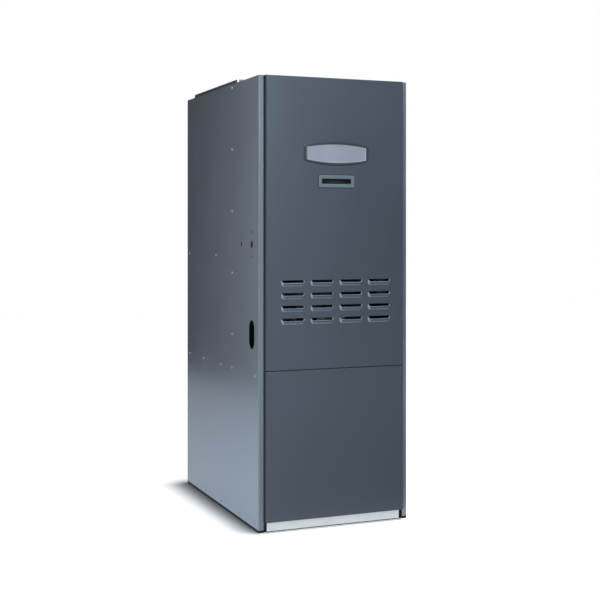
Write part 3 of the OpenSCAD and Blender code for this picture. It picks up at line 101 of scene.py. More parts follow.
def newFinish(name, **constants):
    # an empty finish: its material, its tree, its shader and each point's place in metres
    finish = bpy.data.materials.new(name)
    finish.use_nodes = True
    tree = finish.node_tree
    shader = tree.nodes["Principled BSDF"]
    for key, value in constants.items():
        shader.inputs[key].default_value = value
    place = addNode(tree, "ShaderNodeTexCoord").outputs["Object"]
    return finish, tree, shader, place


def perMetre(mm):
    # cells of that size in a metre, which is what a texture's scale counts
    return 1000 / mm


# studio: a pale floor, white surroundings, four softboxes and a sun almost overhead, whose shadow lies along the
# foot of the left side

studio = {
    "floor": "#F6F6F6", "floorBounce": "#6C6C6C",  # as it is seen, and as it lights the object
    "floorLow": (-9, -12), "floorHigh": (9, 9),
    "floorOwnLight": 0.04, "floorMirrorLight": 0.96,  # share of plain light in it, to the camera and in mirrors
    # its two colours in mirrors, the way in which one fades into the other, and from where to where along that
    "floorMirror": ("#F0F8FF", "#AEB0B4"), "floorMirrorWay": (-1, 0.5, 0), "floorMirrorSpan": (0.7, 3.2),
    # close to the left side: the share of light that is left, how far that reaches, and the x where it sets in
    "footShade": 0.36, "footReach": 0.075, "footSpan": (sideX + 0.0047, sideX - 0.0013),
    "ambient": 0.06, "ambientColour": "#F0F5FF",
    "sunTilt": (1.0, -2.8), "sunSpread": 5.6, "sunStrength": 3.3,  # degrees, degrees and W/m2
    "lamps": {  # place, aim, size in metres, watts and colour
        "highSoftbox": ((0.05, -2.5, 3.0), (0.0, -0.4, 1.3), 0.8, 34, "#E4F4FF"),
        "frontSoftbox": ((0.05, -3.6, 1.8), (0.0, -0.4, 1.0), 0.8, 30, "#E6F5FF"),
        "lowSoftbox": ((-1.8, -2.2, 0.17), (0.0, -0.4, 0.6), 0.32, 90, "#FFFBF5"),
        "rightSoftbox": ((2.9, -2.0, 1.3), (0.25, -0.4, 0.9), 1.8, 22, "#EEF7FF"),
    },
    "unmirrored": ["lowSoftbox"],  # so near that it would glare in the left side
    # boards off camera that the enamel mirrors: four corners, two colours, and from which x to which they fade
    "boards": {
        "sideBoard": ([(-1.17, 1.6, 0.08), (0.8, 2.4, 0.72), (0.8, 2.4, 3), (-1.17, 1.6, 3)],
                      ("#7C675A", "#2F241E"), (-1.1, -0.6)),
        "doorBoard": ([(1.9, -4.6, 0), (5.4, -2.0, 0), (5.4, -2.0, 2.0), (1.9, -4.6, 2.0)],
                      ("#2A2B2D", "#2A2B2D"), (1.9, 5.4)),
        "matBoard": ([(-0.4, -2.1, 0.004), (1.6, -2.1, 0.004), (1.6, -0.6, 0.004), (-0.4, -0.6, 0.004)],
                     ("#B4B4B4", "#3A3B3D"), (-0.4, 1.6)),
    },
    "boardRough": 0.9,
}


def whiteForCamera(tree):
    # 1 for rays from the camera, in mirrors and through glass, 0 for the rest
    path = addNode(tree, "ShaderNodeLightPath")
    seen = path.outputs["Is Camera Ray"]
    for other in ("Is Glossy Ray", "Is Transmission Ray"):
        seen = addNode(tree, "ShaderNodeMath", {"operation": "MAXIMUM"}, {0: seen, 1: path.outputs[other]}).outputs[0]
    return seen


def flatSheet(name, corners, finish):
    mesh = bpy.data.meshes.new(name)
    mesh.from_pydata(corners, [], [(0, 1, 2, 3)])
    mesh.materials.append(finish)
    sheet = bpy.data.objects.new(name, mesh)
    bpy.context.scene.collection.objects.link(sheet)
    return sheet


def layFloor(look):
    # pale and matt: it looks white, throws little light back on the furnace and is plain light in mirrors
    finish = bpy.data.materials.new("paleFloor")
    finish.use_nodes = True
    tree = finish.node_tree
    tree.nodes.clear()
    mirrored = addNode(tree, "ShaderNodeLightPath").outputs["Is Glossy Ray"]
    seen = whiteForCamera(tree)
    place = addNode(tree, "ShaderNodeTexCoord").outputs["Object"]

    near, far = (toLinear(colour) for colour in look["floorMirror"])
    start, end = look["floorMirrorSpan"]
    along = addNode(tree, "ShaderNodeVectorMath", {"operation": "DOT_PRODUCT", 1: look["floorMirrorWay"]}, {0: place})
    fade = addNode(tree, "ShaderNodeMapRange", {"From Min": start, "From Max": end}, {"Value": along.outputs["Value"]})
    fade = addNode(tree, "ShaderNodeMix", {"data_type": "RGBA", 6: near, 7: far}, {0: fade.outputs[0]})
    plain = addNode(tree, "ShaderNodeMix", {"data_type": "RGBA", 6: (1, 1, 1, 1)}, {0: mirrored, 7: fade.outputs[2]})
    bright = addNode(tree, "ShaderNodeEmission", {"Strength": 1.0}, {"Color": plain.outputs[2]})

    # close to the left side it is darker than area lamps alone leave it
    start, end = look["footSpan"]
    corner = addNode(tree, "ShaderNodeAmbientOcclusion", {"samples": 8, "Distance": look["footReach"]})
    corner = addNode(tree, "ShaderNodeMapRange", {"From Min": 0.5, "From Max": 1.0, "To Min": look["footShade"]},
                     {"Value": corner.outputs["AO"]})
    across = addNode(tree, "ShaderNodeSeparateXYZ", None, {0: place}).outputs["X"]
    left = addNode(tree, "ShaderNodeMapRange", {"From Min": start, "From Max": end}, {"Value": across})
    corner = addNode(tree, "ShaderNodeMix", {"data_type": "FLOAT", 2: 1.0}, {0: left.outputs[0], 3: corner.outputs[0]})
    bounce, pale = toLinear(look["floorBounce"]), toLinear(look["floor"])
    tone = addNode(tree, "ShaderNodeMix", {"data_type": "RGBA", 6: bounce, 7: pale}, {0: seen})
    tone = addNode(tree, "ShaderNodeVectorMath", {"operation": "SCALE"},
                   {0: tone.outputs[2], "Scale": corner.outputs[0]})
    matt = addNode(tree, "ShaderNodeBsdfDiffuse", None, {"Color": tone.outputs[0]})

    own, inMirrors = look["floorOwnLight"], look["floorMirrorLight"]
    share = addNode(tree, "ShaderNodeMix", {"data_type": "FLOAT", 2: own, 3: inMirrors}, {0: mirrored})
    share = addNode(tree, "ShaderNodeMath", {"operation": "MULTIPLY"}, {0: share.outputs[0], 1: seen})
    mix = addNode(tree, "ShaderNodeMixShader", None, {0: share.outputs[0], 1: matt.outputs[0], 2: bright.outputs[0]})
    addNode(tree, "ShaderNodeOutputMaterial", None, {"Surface": mix.outputs[0]})

    (x0, y0), (x1, y1) = look["floorLow"], look["floorHigh"]
    floor = flatSheet("studioFloor", [(x0, y0, 0), (x1, y0, 0), (x1, y1, 0), (x0, y1, 0)], finish)


def standBoards(look):
    for name, (corners, colours, (start, end)) in look["boards"].items():
        finish, tree, shader, place = newFinish(name + "Paint", Roughness=look["boardRough"])
        near, far = (toLinear(colour) for colour in colours)
        across = addNode(tree, "ShaderNodeSeparateXYZ", None, {0: place}).outputs["X"]
        fade = addNode(tree, "ShaderNodeMapRange", {"From Min": start, "From Max": end}, {"Value": across})
        tone = addNode(tree, "ShaderNodeMix", {"data_type": "RGBA", 6: near, 7: far}, {0: fade.outputs[0]})
        tree.links.new(tone.outputs[2], shader.inputs["Base Color"])
        board = flatSheet(name, corners, finish)
        board.visible_camera = board.visible_shadow = board.visible_diffuse = False


def fillSurroundings(look):
    world = bpy.data.worlds.new("studioAir")
    bpy.context.scene.world = world
    world.use_nodes = True
    tree = world.node_tree
    tree.nodes.clear()
    ambient = toLinear(look["ambientColour"])
    soft = addNode(tree, "ShaderNodeBackground", {"Color": ambient, "Strength": look["ambient"]})
    white = addNode(tree, "ShaderNodeBackground", {"Color": (1, 1, 1, 1), "Strength": 1.0})
    mix = addNode(tree, "ShaderNodeMixShader", None, {0: whiteForCamera(tree), 1: soft.outputs[0], 2: white.outputs[0]})
    addNode(tree, "ShaderNodeOutputWorld", None, {"Surface": mix.outputs[0]})


def hangLamps(look):
    for name, (place, target, size, watts, colour) in look["lamps"].items():
        data = bpy.data.lights.new(name, "AREA")
        data.size, data.energy, data.color = size, watts, toLinear(colour)[:3]
        lamp = bpy.data.objects.new(name, data)
        bpy.context.scene.collection.objects.link(lamp)
        lamp.location = place
        lamp.visible_glossy = name not in look["unmirrored"]
        aim = np.array(target) - np.array(place)
        lamp.rotation_euler = (math.atan2(math.hypot(aim[0], aim[1]), -aim[2]), 0, math.atan2(-aim[0], aim[1]))

    data = bpy.data.lights.new("overheadSun", "SUN")
    data.energy, data.angle = look["sunStrength"], math.radians(look["sunSpread"])
    lamp = bpy.data.objects.new("overheadSun", data)
    bpy.context.scene.collection.objects.link(lamp)
    lamp.rotation_euler = (math.radians(look["sunTilt"][0]), math.radians(-look["sunTilt"][1]), 0)


layFloor(studio)
standBoards(studio)
fillSurroundings(studio)
hangLamps(studio)
bpy.context.scene.view_settings.view_transform = "Standard"
print("studio lit")


# enamelled sheet steel

enamelCoat = {
    "driftMm": 260, "dustMm": 120, "bowMm": 240,  # cells of the colour's drift, the dust and the sheet's bows
    "dustRough": 0.02, "peelHeightMm": 0.02,
    "flangeDepth": (0.0024, 0.0006),  # behind the face of the flanges, where their painted light starts and where it is full
    # heights over which the foot's painted shadow fades in, and its roughness
    "footHeight": (0.0092, 0.0068), "footRough": 0.9,
    "seatDepth": (0.004, 0.0085), "seatHalfWidth": 0.2635,  # metres behind the flanges, and out from the middle
    "bendTurn": (-0.85, -0.35),  # y of the surface's direction, from flat to well bent, over which the painted highlight comes in
    "cornerTurn": (0.08, 0.25),  # x times y of that direction, on an upright bend
}


def bakedEnamel(name, look, coat=enamelCoat):
    # Stove enamel on rolled sheet: sprayed and baked, so a soft gloss over a faint orange peel, and
    # sheet that isn't quite flat, which bends its reflections. The peel is real at 1.5 mm and drawn at
    # look["peelMm"], so that it shows.
    finish, tree, shader, place = newFinish(name, IOR=1.5, Metallic=look.get("metallic", 0.0))
    spot = addNode(tree, "ShaderNodeSeparateXYZ", None, {0: place}).outputs
    direction = addNode(tree, "ShaderNodeTexCoord").outputs["Normal"]
    facing = addNode(tree, "ShaderNodeSeparateXYZ", None, {0: direction}).outputs

    masks = {}  # where each further coat lies
    if "flange" in look:  # the front flanges get a tone of their own: painted light and shade for how the light falls on them
        start, end = (flangeY + depth for depth in coat["flangeDepth"])
        masks["flange"] = addNode(tree, "ShaderNodeMapRange", {"From Min": start, "From Max": end},
                                  {"Value": spot["Y"]})
    if "foot" in look:  # painted shadow: a dark, matt band where the foot meets the floor
        start, end = coat["footHeight"]
        masks["foot"] = addNode(tree, "ShaderNodeMapRange", {"From Min": start, "From Max": end},
                                {"Value": spot["Z"]})
    if "seat" in look:  # painted shade: dark on the seats behind the doors, where the gaps lie in shadow
        near, far = (flangeY + depth for depth in coat["seatDepth"])
        inward = addNode(tree, "ShaderNodeMath", {"operation": "ABSOLUTE"}, {0: spot["X"]})
        inside = addNode(tree, "ShaderNodeMath", {"operation": "LESS_THAN", 1: coat["seatHalfWidth"]},
                         {0: inward.outputs[0]})
        behind = addNode(tree, "ShaderNodeMath", {"operation": "GREATER_THAN", 1: near}, {0: spot["Y"]})
        before = addNode(tree, "ShaderNodeMath", {"operation": "LESS_THAN", 1: far}, {0: spot["Y"]})
        seat = addNode(tree, "ShaderNodeMath", {"operation": "MULTIPLY"}, {0: inside.outputs[0], 1: behind.outputs[0]})
        masks["seat"] = addNode(tree, "ShaderNodeMath", {"operation": "MULTIPLY"},
                                {0: seat.outputs[0], 1: before.outputs[0]})
    if "bend" in look:  # painted highlight: pale where the pressed sheet bends out of its plane and catches the light
        start, end = coat["bendTurn"]
        masks["bend"] = addNode(tree, "ShaderNodeMapRange", {"From Min": start, "From Max": end},
                                {"Value": facing["Y"]})

    low, high = toLinear(look["low"]), toLinear(look["high"])
    drift = addNode(tree, "ShaderNodeTexNoise", {"Scale": perMetre(coat["driftMm"]), "Detail": 3.0, "Roughness": 0.6},
                    {"Vector": place})
    tone = addNode(tree, "ShaderNodeMix", {"data_type": "RGBA", 6: low, 7: high}, {0: drift.outputs[0]})
    for part, mask in masks.items():
        tone = addNode(tree, "ShaderNodeMix", {"data_type": "RGBA", 7: toLinear(look[part])},
                       {0: mask.outputs[0], 6: tone.outputs[2]})
    tree.links.new(tone.outputs[2], shader.inputs["Base Color"])

    rough, dustRough = look["rough"], coat["dustRough"]
    dust = addNode(tree, "ShaderNodeTexNoise", {"Scale": perMetre(coat["dustMm"]), "Detail": 2.0, "Roughness": 0.5},
                   {"Vector": place})
    gloss = addNode(tree, "ShaderNodeMapRange", {"From Min": 0.3, "From Max": 0.7, "To Min": rough - dustRough,
                                                 "To Max": rough + dustRough}, {"Value": dust.outputs[0]})
    if "foot" in masks:
        gloss = addNode(tree, "ShaderNodeMix", {"data_type": "FLOAT", 3: coat["footRough"]},
                        {0: masks["foot"].outputs[0], 2: gloss.outputs[0]})
    if "bendRough" in look:  # an upright bend is scuffed matt
        start, end = coat["cornerTurn"]
        corner = addNode(tree, "ShaderNodeMath", {"operation": "MULTIPLY"}, {0: facing["X"], 1: facing["Y"]})
        corner = addNode(tree, "ShaderNodeMath", {"operation": "ABSOLUTE"}, {0: corner.outputs[0]})
        gloss = addNode(tree, "ShaderNodeMapRange", {"From Min": start, "From Max": end, "To Max": look["bendRough"]},
                        {"Value": corner.outputs[0], "To Min": gloss.outputs[0]})
    tree.links.new(gloss.outputs[0], shader.inputs["Roughness"])

    bow = addNode(tree, "ShaderNodeTexNoise", {"Scale": perMetre(coat["bowMm"]), "Detail": 1.0}, {"Vector": place})
    bow = addNode(tree, "ShaderNodeBump", {"Distance": look["waveMm"] / 1000, "Strength": 1.0},
                  {"Height": bow.outputs[0]})
    peel = addNode(tree, "ShaderNodeTexNoise", {"Scale": perMetre(look["peelMm"]), "Detail": 2.0}, {"Vector": place})
    skin = addNode(tree, "ShaderNodeBump", {"Distance": coat["peelHeightMm"] / 1000, "Strength": 0.3},
                   {"Height": peel.outputs[0], "Normal": bow.outputs[0]})
    tree.links.new(skin.outputs[0], shader.inputs["Normal"])
    return finish


# flange, foot and seat are painted light and shade: the lit front flanges, the contact shadow along the foot and the
# shade in the gaps behind the doors
cabinetLook = {"low": "#708092", "high": "#758597", "flange": "#626C75", "foot": "#15181B", "seat": "#15181B",
               "rough": 0.24, "bendRough": 0.6, "metallic": 0.5, "waveMm": 0.04, "peelMm": 4.0}
cabinetEnamel = bakedEnamel("cabinetEnamel", cabinetLook)
rightLitFlangeEnamel = bakedEnamel("rightPanelLitFlangeEnamel", {**cabinetLook, "flange": "#78848F"})  # its flanges paler: a painted highlight on the right flange
doorEnamel = bakedEnamel("doorEnamel", {"low": "#39414B", "high": "#3D4450", "rough": 0.3, "bendRough": 0.65,
                                        "metallic": 0.35, "waveMm": 0.12, "peelMm": 4.0})
# pressed from the door's own sheet: the lips' paler tone than the door's and their pale bends are painted light
lipLitEnamel = bakedEnamel("pressedLipLitEnamel", {"low": "#424B56", "high": "#464F5A", "bend": "#92A5B2", "rough": 0.3,
                                             "metallic": 0.35, "waveMm": 0.0, "peelMm": 4.0})
# painted shade: the vestibule panel is near black so that the inside seen through the oil opening reads as shadow
vestibuleShadeEnamel = bakedEnamel("shadeBlackVestibuleEnamel", {"low": "#17191C", "high": "#1E2124", "rough": 0.5,
                                                       "waveMm": 0.0, "peelMm": 3.0})
motorEnamel = bakedEnamel("motorEnamel", {"low": "#22262B", "high": "#2A2F35", "rough": 0.4, "waveMm": 0.0,
                                          "peelMm": 3.0})
limitEnamel = bakedEnamel("controlCaseEnamel", {"low": "#AEACA2", "high": "#B9B7AE", "rough": 0.4, "waveMm": 0.0,
                                                "peelMm": 3.0})
transformerEnamel = bakedEnamel("transformerEnamel", {"low": "#1E2023", "high": "#26282C", "rough": 0.45,
                                                      "waveMm": 0.0, "peelMm": 3.0})


# bare and plated metals

def spangledZinc(name, look):
    # Hot-dip galvanised sheet: zinc freezes in flat crystals of 6 to 15 mm, each at its own grey
    finish, tree, shader, place = newFinish(name, Metallic=1.0)
    low, high, rough = toLinear(look["low"]), toLinear(look["high"]), look["rough"]
    grainMm, grainHeightMm = 3, 0.04
    crystal = addNode(tree, "ShaderNodeTexVoronoi", {"feature": "F1", "Scale": perMetre(look["crystalMm"]),
                                                     "Randomness": 1.0}, {"Vector": place})
    grey = addNode(tree, "ShaderNodeSeparateColor", None, {0: crystal.outputs["Color"]}).outputs[0]
    tone = addNode(tree, "ShaderNodeMix", {"data_type": "RGBA", 6: low, 7: high}, {0: grey})
    if "foot" in look:  # painted shadow: the edge that stands on the floor is drawn dark
        start, end = look["footHeight"]
        height = addNode(tree, "ShaderNodeSeparateXYZ", None, {0: place}).outputs["Z"]
        edge = addNode(tree, "ShaderNodeMapRange", {"From Min": start, "From Max": end}, {"Value": height})
        tone = addNode(tree, "ShaderNodeMix", {"data_type": "RGBA", 7: toLinear(look["foot"])},
                       {0: edge.outputs[0], 6: tone.outputs[2]})
    tree.links.new(tone.outputs[2], shader.inputs["Base Color"])
    gloss = addNode(tree, "ShaderNodeMapRange", {"To Min": rough - 0.06, "To Max": rough + 0.08}, {"Value": grey})
    tree.links.new(gloss.outputs[0], shader.inputs["Roughness"])
    grain = addNode(tree, "ShaderNodeTexNoise", {"Scale": perMetre(grainMm), "Detail": 3.0}, {"Vector": place})
    skin = addNode(tree, "ShaderNodeBump", {"Distance": grainHeightMm / 1000, "Strength": 0.5},
                   {"Height": grain.outputs[0]})
    tree.links.new(skin.outputs[0], shader.inputs["Normal"])
    return finish


def drawnMetal(name, look):
    # Drawn, turned or brushed metal: fine lines lie along one axis, look["along"], and spread the gloss across them.
    # The lines are real at 0.1 to 0.3 mm and drawn at look["lineMm"], each 40 times as long as it is wide.
    finish, tree, shader, place = newFinish(name, Metallic=look.get("metallic", 1.0))
    low, high, rough = toLinear(look["low"]), toLinear(look["high"]), look["rough"]
    lineLength, lineHeightMm = 40, 0.02
    stretch = [perMetre(look["lineMm"])] * 3
    stretch["xyz".index(look["along"])] = perMetre(look["lineMm"] * lineLength)
    lines = addNode(tree, "ShaderNodeMapping", {"Scale": stretch}, {"Vector": place})
    streak = addNode(tree, "ShaderNodeTexNoise", {"Scale": 1.0, "Detail": 2.0}, {"Vector": lines.outputs[0]})
    stain = addNode(tree, "ShaderNodeTexNoise", {"Scale": perMetre(look["stainMm"]), "Detail": 4.0}, {"Vector": place})
    tone = addNode(tree, "ShaderNodeMix", {"data_type": "RGBA", 6: low, 7: high}, {0: stain.outputs[0]})
    if "painted" in look:  # whatever lies near that point is drawn in one dark, non-metallic colour
        point, reach, paint = look["painted"]
        away = addNode(tree, "ShaderNodeVectorMath", {"operation": "DISTANCE", 1: point}, {0: place}).outputs["Value"]
        bare = addNode(tree, "ShaderNodeMath", {"operation": "GREATER_THAN", 1: reach}, {0: away})
        tone = addNode(tree, "ShaderNodeMix", {"data_type": "RGBA", 6: toLinear(paint)},
                       {0: bare.outputs[0], 7: tone.outputs[2]})
        tree.links.new(bare.outputs[0], shader.inputs["Metallic"])
    tree.links.new(tone.outputs[2], shader.inputs["Base Color"])
    gloss = addNode(tree, "ShaderNodeMapRange", {"From Min": 0.3, "From Max": 0.7, "To Min": rough - 0.05,
                                                 "To Max": rough + 0.08}, {"Value": streak.outputs[0]})
    tree.links.new(gloss.outputs[0], shader.inputs["Roughness"])
    skin = addNode(tree, "ShaderNodeBump", {"Distance": lineHeightMm / 1000, "Strength": 0.5},
                   {"Height": streak.outputs[0]})
    tree.links.new(skin.outputs[0], shader.inputs["Normal"])
    return finish


def castMetal(name, look):
    # Sand or die cast and left as cast: matt, with a grain of 1 to 2 mm and darker hollows
    finish, tree, shader, place = newFinish(name, Metallic=look["metallic"])
    low, high, rough = toLinear(look["low"]), toLinear(look["high"]), look["rough"]
    grainHeightMm = 0.15
    grain = addNode(tree, "ShaderNodeTexNoise", {"Scale": perMetre(look["grainMm"]), "Detail": 4.0}, {"Vector": place})
    tone = addNode(tree, "ShaderNodeMix", {"data_type": "RGBA", 6: low, 7: high}, {0: grain.outputs[0]})
    tree.links.new(tone.outputs[2], shader.inputs["Base Color"])
    gloss = addNode(tree, "ShaderNodeMapRange", {"To Min": rough - 0.1, "To Max": rough + 0.1},
                    {"Value": grain.outputs[0]})
    tree.links.new(gloss.outputs[0], shader.inputs["Roughness"])
    skin = addNode(tree, "ShaderNodeBump", {"Distance": grainHeightMm / 1000, "Strength": 0.6},
                   {"Height": grain.outputs[0]})
    tree.links.new(skin.outputs[0], shader.inputs["Normal"])
    return finish


galvanisedSheet = spangledZinc("galvanisedSheet", {"low": "#A3A8AB", "high": "#BCC1C4", "rough": 0.38, "crystalMm": 11})
# its dark foot is a painted shadow along the floor
kickZinc = spangledZinc("brightZincSheet", {"low": "#D4D5D7", "high": "#DCDDDE", "rough": 0.5, "crystalMm": 14,
                                            "foot": "#3A3D40", "footHeight": (0.0035, 0.002)})
millSteel = drawnMetal("millFinishSteel", {"low": "#5E5D5B", "high": "#7A7875", "rough": 0.5,
                                           "lineMm": 1.5, "stainMm": 60, "along": "x"})
yellowZinc = drawnMetal("palePassivatedZinc", {"low": "#B8B2A6", "high": "#D6D1C6", "rough": 0.38,
                                               "lineMm": 0.6, "stainMm": 6, "along": "x",
                                               # the two screws at the electrical hole, drawn dark and not metallic:
                                               # point, reach and colour
                                               "painted": ((sideX, flangeY + 0.066, 0.9275), 0.06, "#4E535C")})
fanSheet = drawnMetal("rolledFanSheet", {"low": "#9A9EA1", "high": "#B0B4B6", "rough": 0.4,
                                         "lineMm": 1.0, "stainMm": 30, "along": "x"})
groundSteel = drawnMetal("groundSteel", {"low": "#B9BCBE", "high": "#CACDCF", "rough": 0.24,
                                         "lineMm": 0.5, "stainMm": 25, "along": "y"})
turnedBrass = drawnMetal("turnedBrass", {"low": "#A98548", "high": "#C9A764", "rough": 0.3,
                                         "lineMm": 0.5, "stainMm": 14, "along": "x"})
copperTube = drawnMetal("drawnCopperTube", {"low": "#9A5A39", "high": "#C27B52", "rough": 0.3,
                                            "lineMm": 0.6, "stainMm": 18, "along": "y"})
dieCast = castMetal("dieCastAluminium", {"low": "#4E5357", "high": "#666B6F", "rough": 0.5,
                                         "grainMm": 2.0, "metallic": 0.7})
greyIron = castMetal("machinedGreyIron", {"low": "#6C6E70", "high": "#85888A", "rough": 0.45,
                                          "grainMm": 1.6, "metallic": 0.9})


# plastics, fibre and porcelain

def mouldedPlastic(name, look):
    # Injection-moulded ABS: the tool's spark-eroded skin leaves an even matt grain of about 0.3 mm, drawn at 1.5 mm
    finish, tree, shader, place = newFinish(name, IOR=1.53, Metallic=0.0)
    low, high, rough = toLinear(look["low"]), toLinear(look["high"]), look["rough"]
    flowMm, grainMm = 45, 1.5
    flow = addNode(tree, "ShaderNodeTexNoise", {"Scale": perMetre(flowMm), "Detail": 2.0}, {"Vector": place})
    tone = addNode(tree, "ShaderNodeMix", {"data_type": "RGBA", 6: low, 7: high}, {0: flow.outputs[0]})
    tree.links.new(tone.outputs[2], shader.inputs["Base Color"])
    grain = addNode(tree, "ShaderNodeTexNoise", {"Scale": perMetre(grainMm), "Detail": 2.0}, {"Vector": place})
    gloss = addNode(tree, "ShaderNodeMapRange", {"To Min": rough - 0.05, "To Max": rough + 0.06},
                    {"Value": grain.outputs[0]})
    tree.links.new(gloss.outputs[0], shader.inputs["Roughness"])
    skin = addNode(tree, "ShaderNodeBump", {"Distance": look["grainHeightMm"] / 1000, "Strength": 0.5},
                   {"Height": grain.outputs[0]})
    tree.links.new(skin.outputs[0], shader.inputs["Normal"])
    return finish


def pressedFibre(name, look):
    # Felted ceramic fibre or paper pulp: matt, with short tangled threads that catch no gloss
    finish, tree, shader, place = newFinish(name, IOR=1.45, Metallic=0.0, Roughness=0.92)
    low, high = toLinear(look["low"]), toLinear(look["high"])
    threadHeightMm = 0.6
    felt = addNode(tree, "ShaderNodeTexNoise", {"Scale": perMetre(look["threadMm"]), "Detail": 6.0, "Roughness": 0.7,
                                                "Distortion": 1.5}, {"Vector": place})
    tone = addNode(tree, "ShaderNodeMix", {"data_type": "RGBA", 6: low, 7: high}, {0: felt.outputs[0]})
    tree.links.new(tone.outputs[2], shader.inputs["Base Color"])
    skin = addNode(tree, "ShaderNodeBump", {"Distance": threadHeightMm / 1000, "Strength": 0.7},
                   {"Height": felt.outputs[0]})
    tree.links.new(skin.outputs[0], shader.inputs["Normal"])
    return finish


pullPlastic = mouldedPlastic("mouldedPullPlastic", {"low": "#43535B", "high": "#485861", "rough": 0.45,
                                                    "grainHeightMm": 0.02})
# near black: painted shade inside the pocket and a painted shadow line round the frame
pocketShadePlastic = mouldedPlastic("pocketAndSealShadePlastic", {"low": "#0A0B0D", "high": "#0E0F11", "rough": 0.6,
                                                        "grainHeightMm": 0.02})
couplingPlastic = mouldedPlastic("couplingNylon", {"low": "#1A1B1D", "high": "#212326", "rough": 0.5,
                                                   "grainHeightMm": 0.02})
controlPlastic = mouldedPlastic("controlCasePlastic", {"low": "#34383D", "high": "#3C4046", "rough": 0.5,
                                                       "grainHeightMm": 0.03})
redPlastic = mouldedPlastic("redButtonPlastic", {"low": "#A31E19", "high": "#B4241E", "rough": 0.28,
                                                 "grainHeightMm": 0.0})
whitePlastic = mouldedPlastic("whiteDialPlastic", {"low": "#DEDEDA", "high": "#E6E6E2", "rough": 0.32,
                                                   "grainHeightMm": 0.0})
porcelain = mouldedPlastic("unglazedPorcelain", {"low": "#D2CBBB", "high": "#DDD7C9", "rough": 0.6,
                                                 "grainHeightMm": 0.03})
ceramicFibre = pressedFibre("ceramicFibre", {"low": "#C9C4B8", "high": "#E9E5DC", "threadMm": 5})
filterMedia = pressedFibre("pleatedFilterMedia", {"low": "#B5AF9E", "high": "#D2CDBD", "threadMm": 3})
print("finishes made:", len(bpy.data.materials))

finishOf = {
    "left_side_panel": cabinetEnamel, "right_side_panel": rightLitFlangeEnamel, "back_panel": cabinetEnamel,
    "top_panel": cabinetEnamel, "center_rail": cabinetEnamel,
    "upper_door": doorEnamel, "lower_door": doorEnamel,
    "kick_rail": kickZinc, "cabinet_screws": yellowZinc,
    "combustion_drum": millSteel, "radiator": millSteel, "flue_collar": millSteel, "burner_sleeve": millSteel,
    "port_tube": millSteel, "burner_flange": millSteel, "blast_tube": millSteel, "retention_head": millSteel,
    "chamber_liner": ceramicFibre, "burner_gasket": ceramicFibre,
    "burner_housing": dieCast, "fuel_pump": greyIron, "nozzle_line": turnedBrass, "fuel_line": copperTube,
    "vestibule_panel": vestibuleShadeEnamel,
    "burner_motor": motorEnamel, "blower_motor": motorEnamel, "igniter": transformerEnamel,
    "burner_fan": fanSheet, "blower_wheel": fanSheet, "air_shutter": fanSheet, "limit_probe": fanSheet,
    "burner_shaft": groundSteel, "blower_shaft": groundSteel, "drive_coupling": couplingPlastic,
    "electrodes": porcelain, "burner_control": controlPlastic, "reset_button": redPlastic,
    "limit_control": limitEnamel, "limit_dial": whitePlastic, "fan_button": whitePlastic,
    "air_filter": filterMedia,
}
for name, node in nodes.items():  # what isn't named above is galvanised sheet
    node.data.materials.clear()
    node.data.materials.append(finishOf.get(name, galvanisedSheet))
print("nodes dressed")


# new pieces are skins over numpy grids

def gridQuads(rows, columns, closed=False):
    # the quads of a grid of points, row by row; closed joins each row's last point to its first
    r, c = np.meshgrid(np.arange(rows - 1), np.arange(columns if closed else columns - 1), indexing="ij")
    near, far = r * columns, (r + 1) * columns
    nextC = (c + 1) % columns
    return np.stack([near + c, near + nextC, far + nextC, far + c], -1).reshape(-1, 4)


def addPiece(name, points, faces, finishes, body, finishIndex=None):
    # points in the CAD's millimetres and faces as lists of indices become one smooth-shaded piece on a body
    mesh = bpy.data.meshes.new(name)
    mesh.from_pydata(toFrame(points).tolist(), [], faces)
    for finish in finishes:
        mesh.materials.append(finish)
    if finishIndex is not None:
        mesh.polygons.foreach_set("material_index", np.asarray(finishIndex, np.int32))
    mesh.polygons.foreach_set("use_smooth", np.ones(len(faces), bool))
    mesh.update()
    piece = bpy.data.objects.new(name, mesh)
    bpy.context.scene.collection.objects.link(piece)
    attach(piece, body)
    return piece


def closedSkin(rings):
    # A solid skin over closed outlines, rings[k, i]: quads join ring to ring and a flat cap closes each end.
    # The signed volume, the sum of a . (b x c) / 6 over its triangles, says whether it is inside out.
    count, around = rings.shape[:2]
    points = rings.reshape(-1, 3)
    quads = gridQuads(count, around, closed=True)
    a, b, c, d = (points[quads[:, i]] for i in range(4))
    volume = (np.einsum("ij,ij->i", a, np.cross(b, c)) + np.einsum("ij,ij->i", a, np.cross(c, d))).sum() / 6
    first, last = list(range(around)), list(range((count - 1) * around, count * around))
    for cap in (first[::-1], last):
        corner = points[cap]
        volume += (np.cross(corner[1:-1], corner[2:]) @ corner[0]).sum() / 6
    faces = quads.tolist() + [first[::-1], last]
    return points, faces if volume > 0 else [f[::-1] for f in faces]


def roundedOutline(halfWidth, halfHeight, radius, perCorner=8, alongEdge=0):
    # points (x, z) round a rectangle: each corner is a quarter circle, and alongEdge points split the long edges
    points = []
    for cornerX, cornerZ, start in ((1, 1, 0), (-1, 1, 90), (-1, -1, 180), (1, -1, 270)):
        angle = np.radians(start + np.linspace(0, 90, perCorner))
        points.append(np.stack([cornerX * (halfWidth - radius) + radius * np.cos(angle),
                                cornerZ * (halfHeight - radius) + radius * np.sin(angle)], -1))
        if alongEdge and start in (0, 180):
            x = np.linspace(1, -1, alongEdge + 2)[1:-1] * (halfWidth - radius) * cornerX
            points.append(np.stack([x, np.full(alongEdge, cornerZ * halfHeight)], -1))
    return np.concatenate(points)


# pressed lips of the louvres

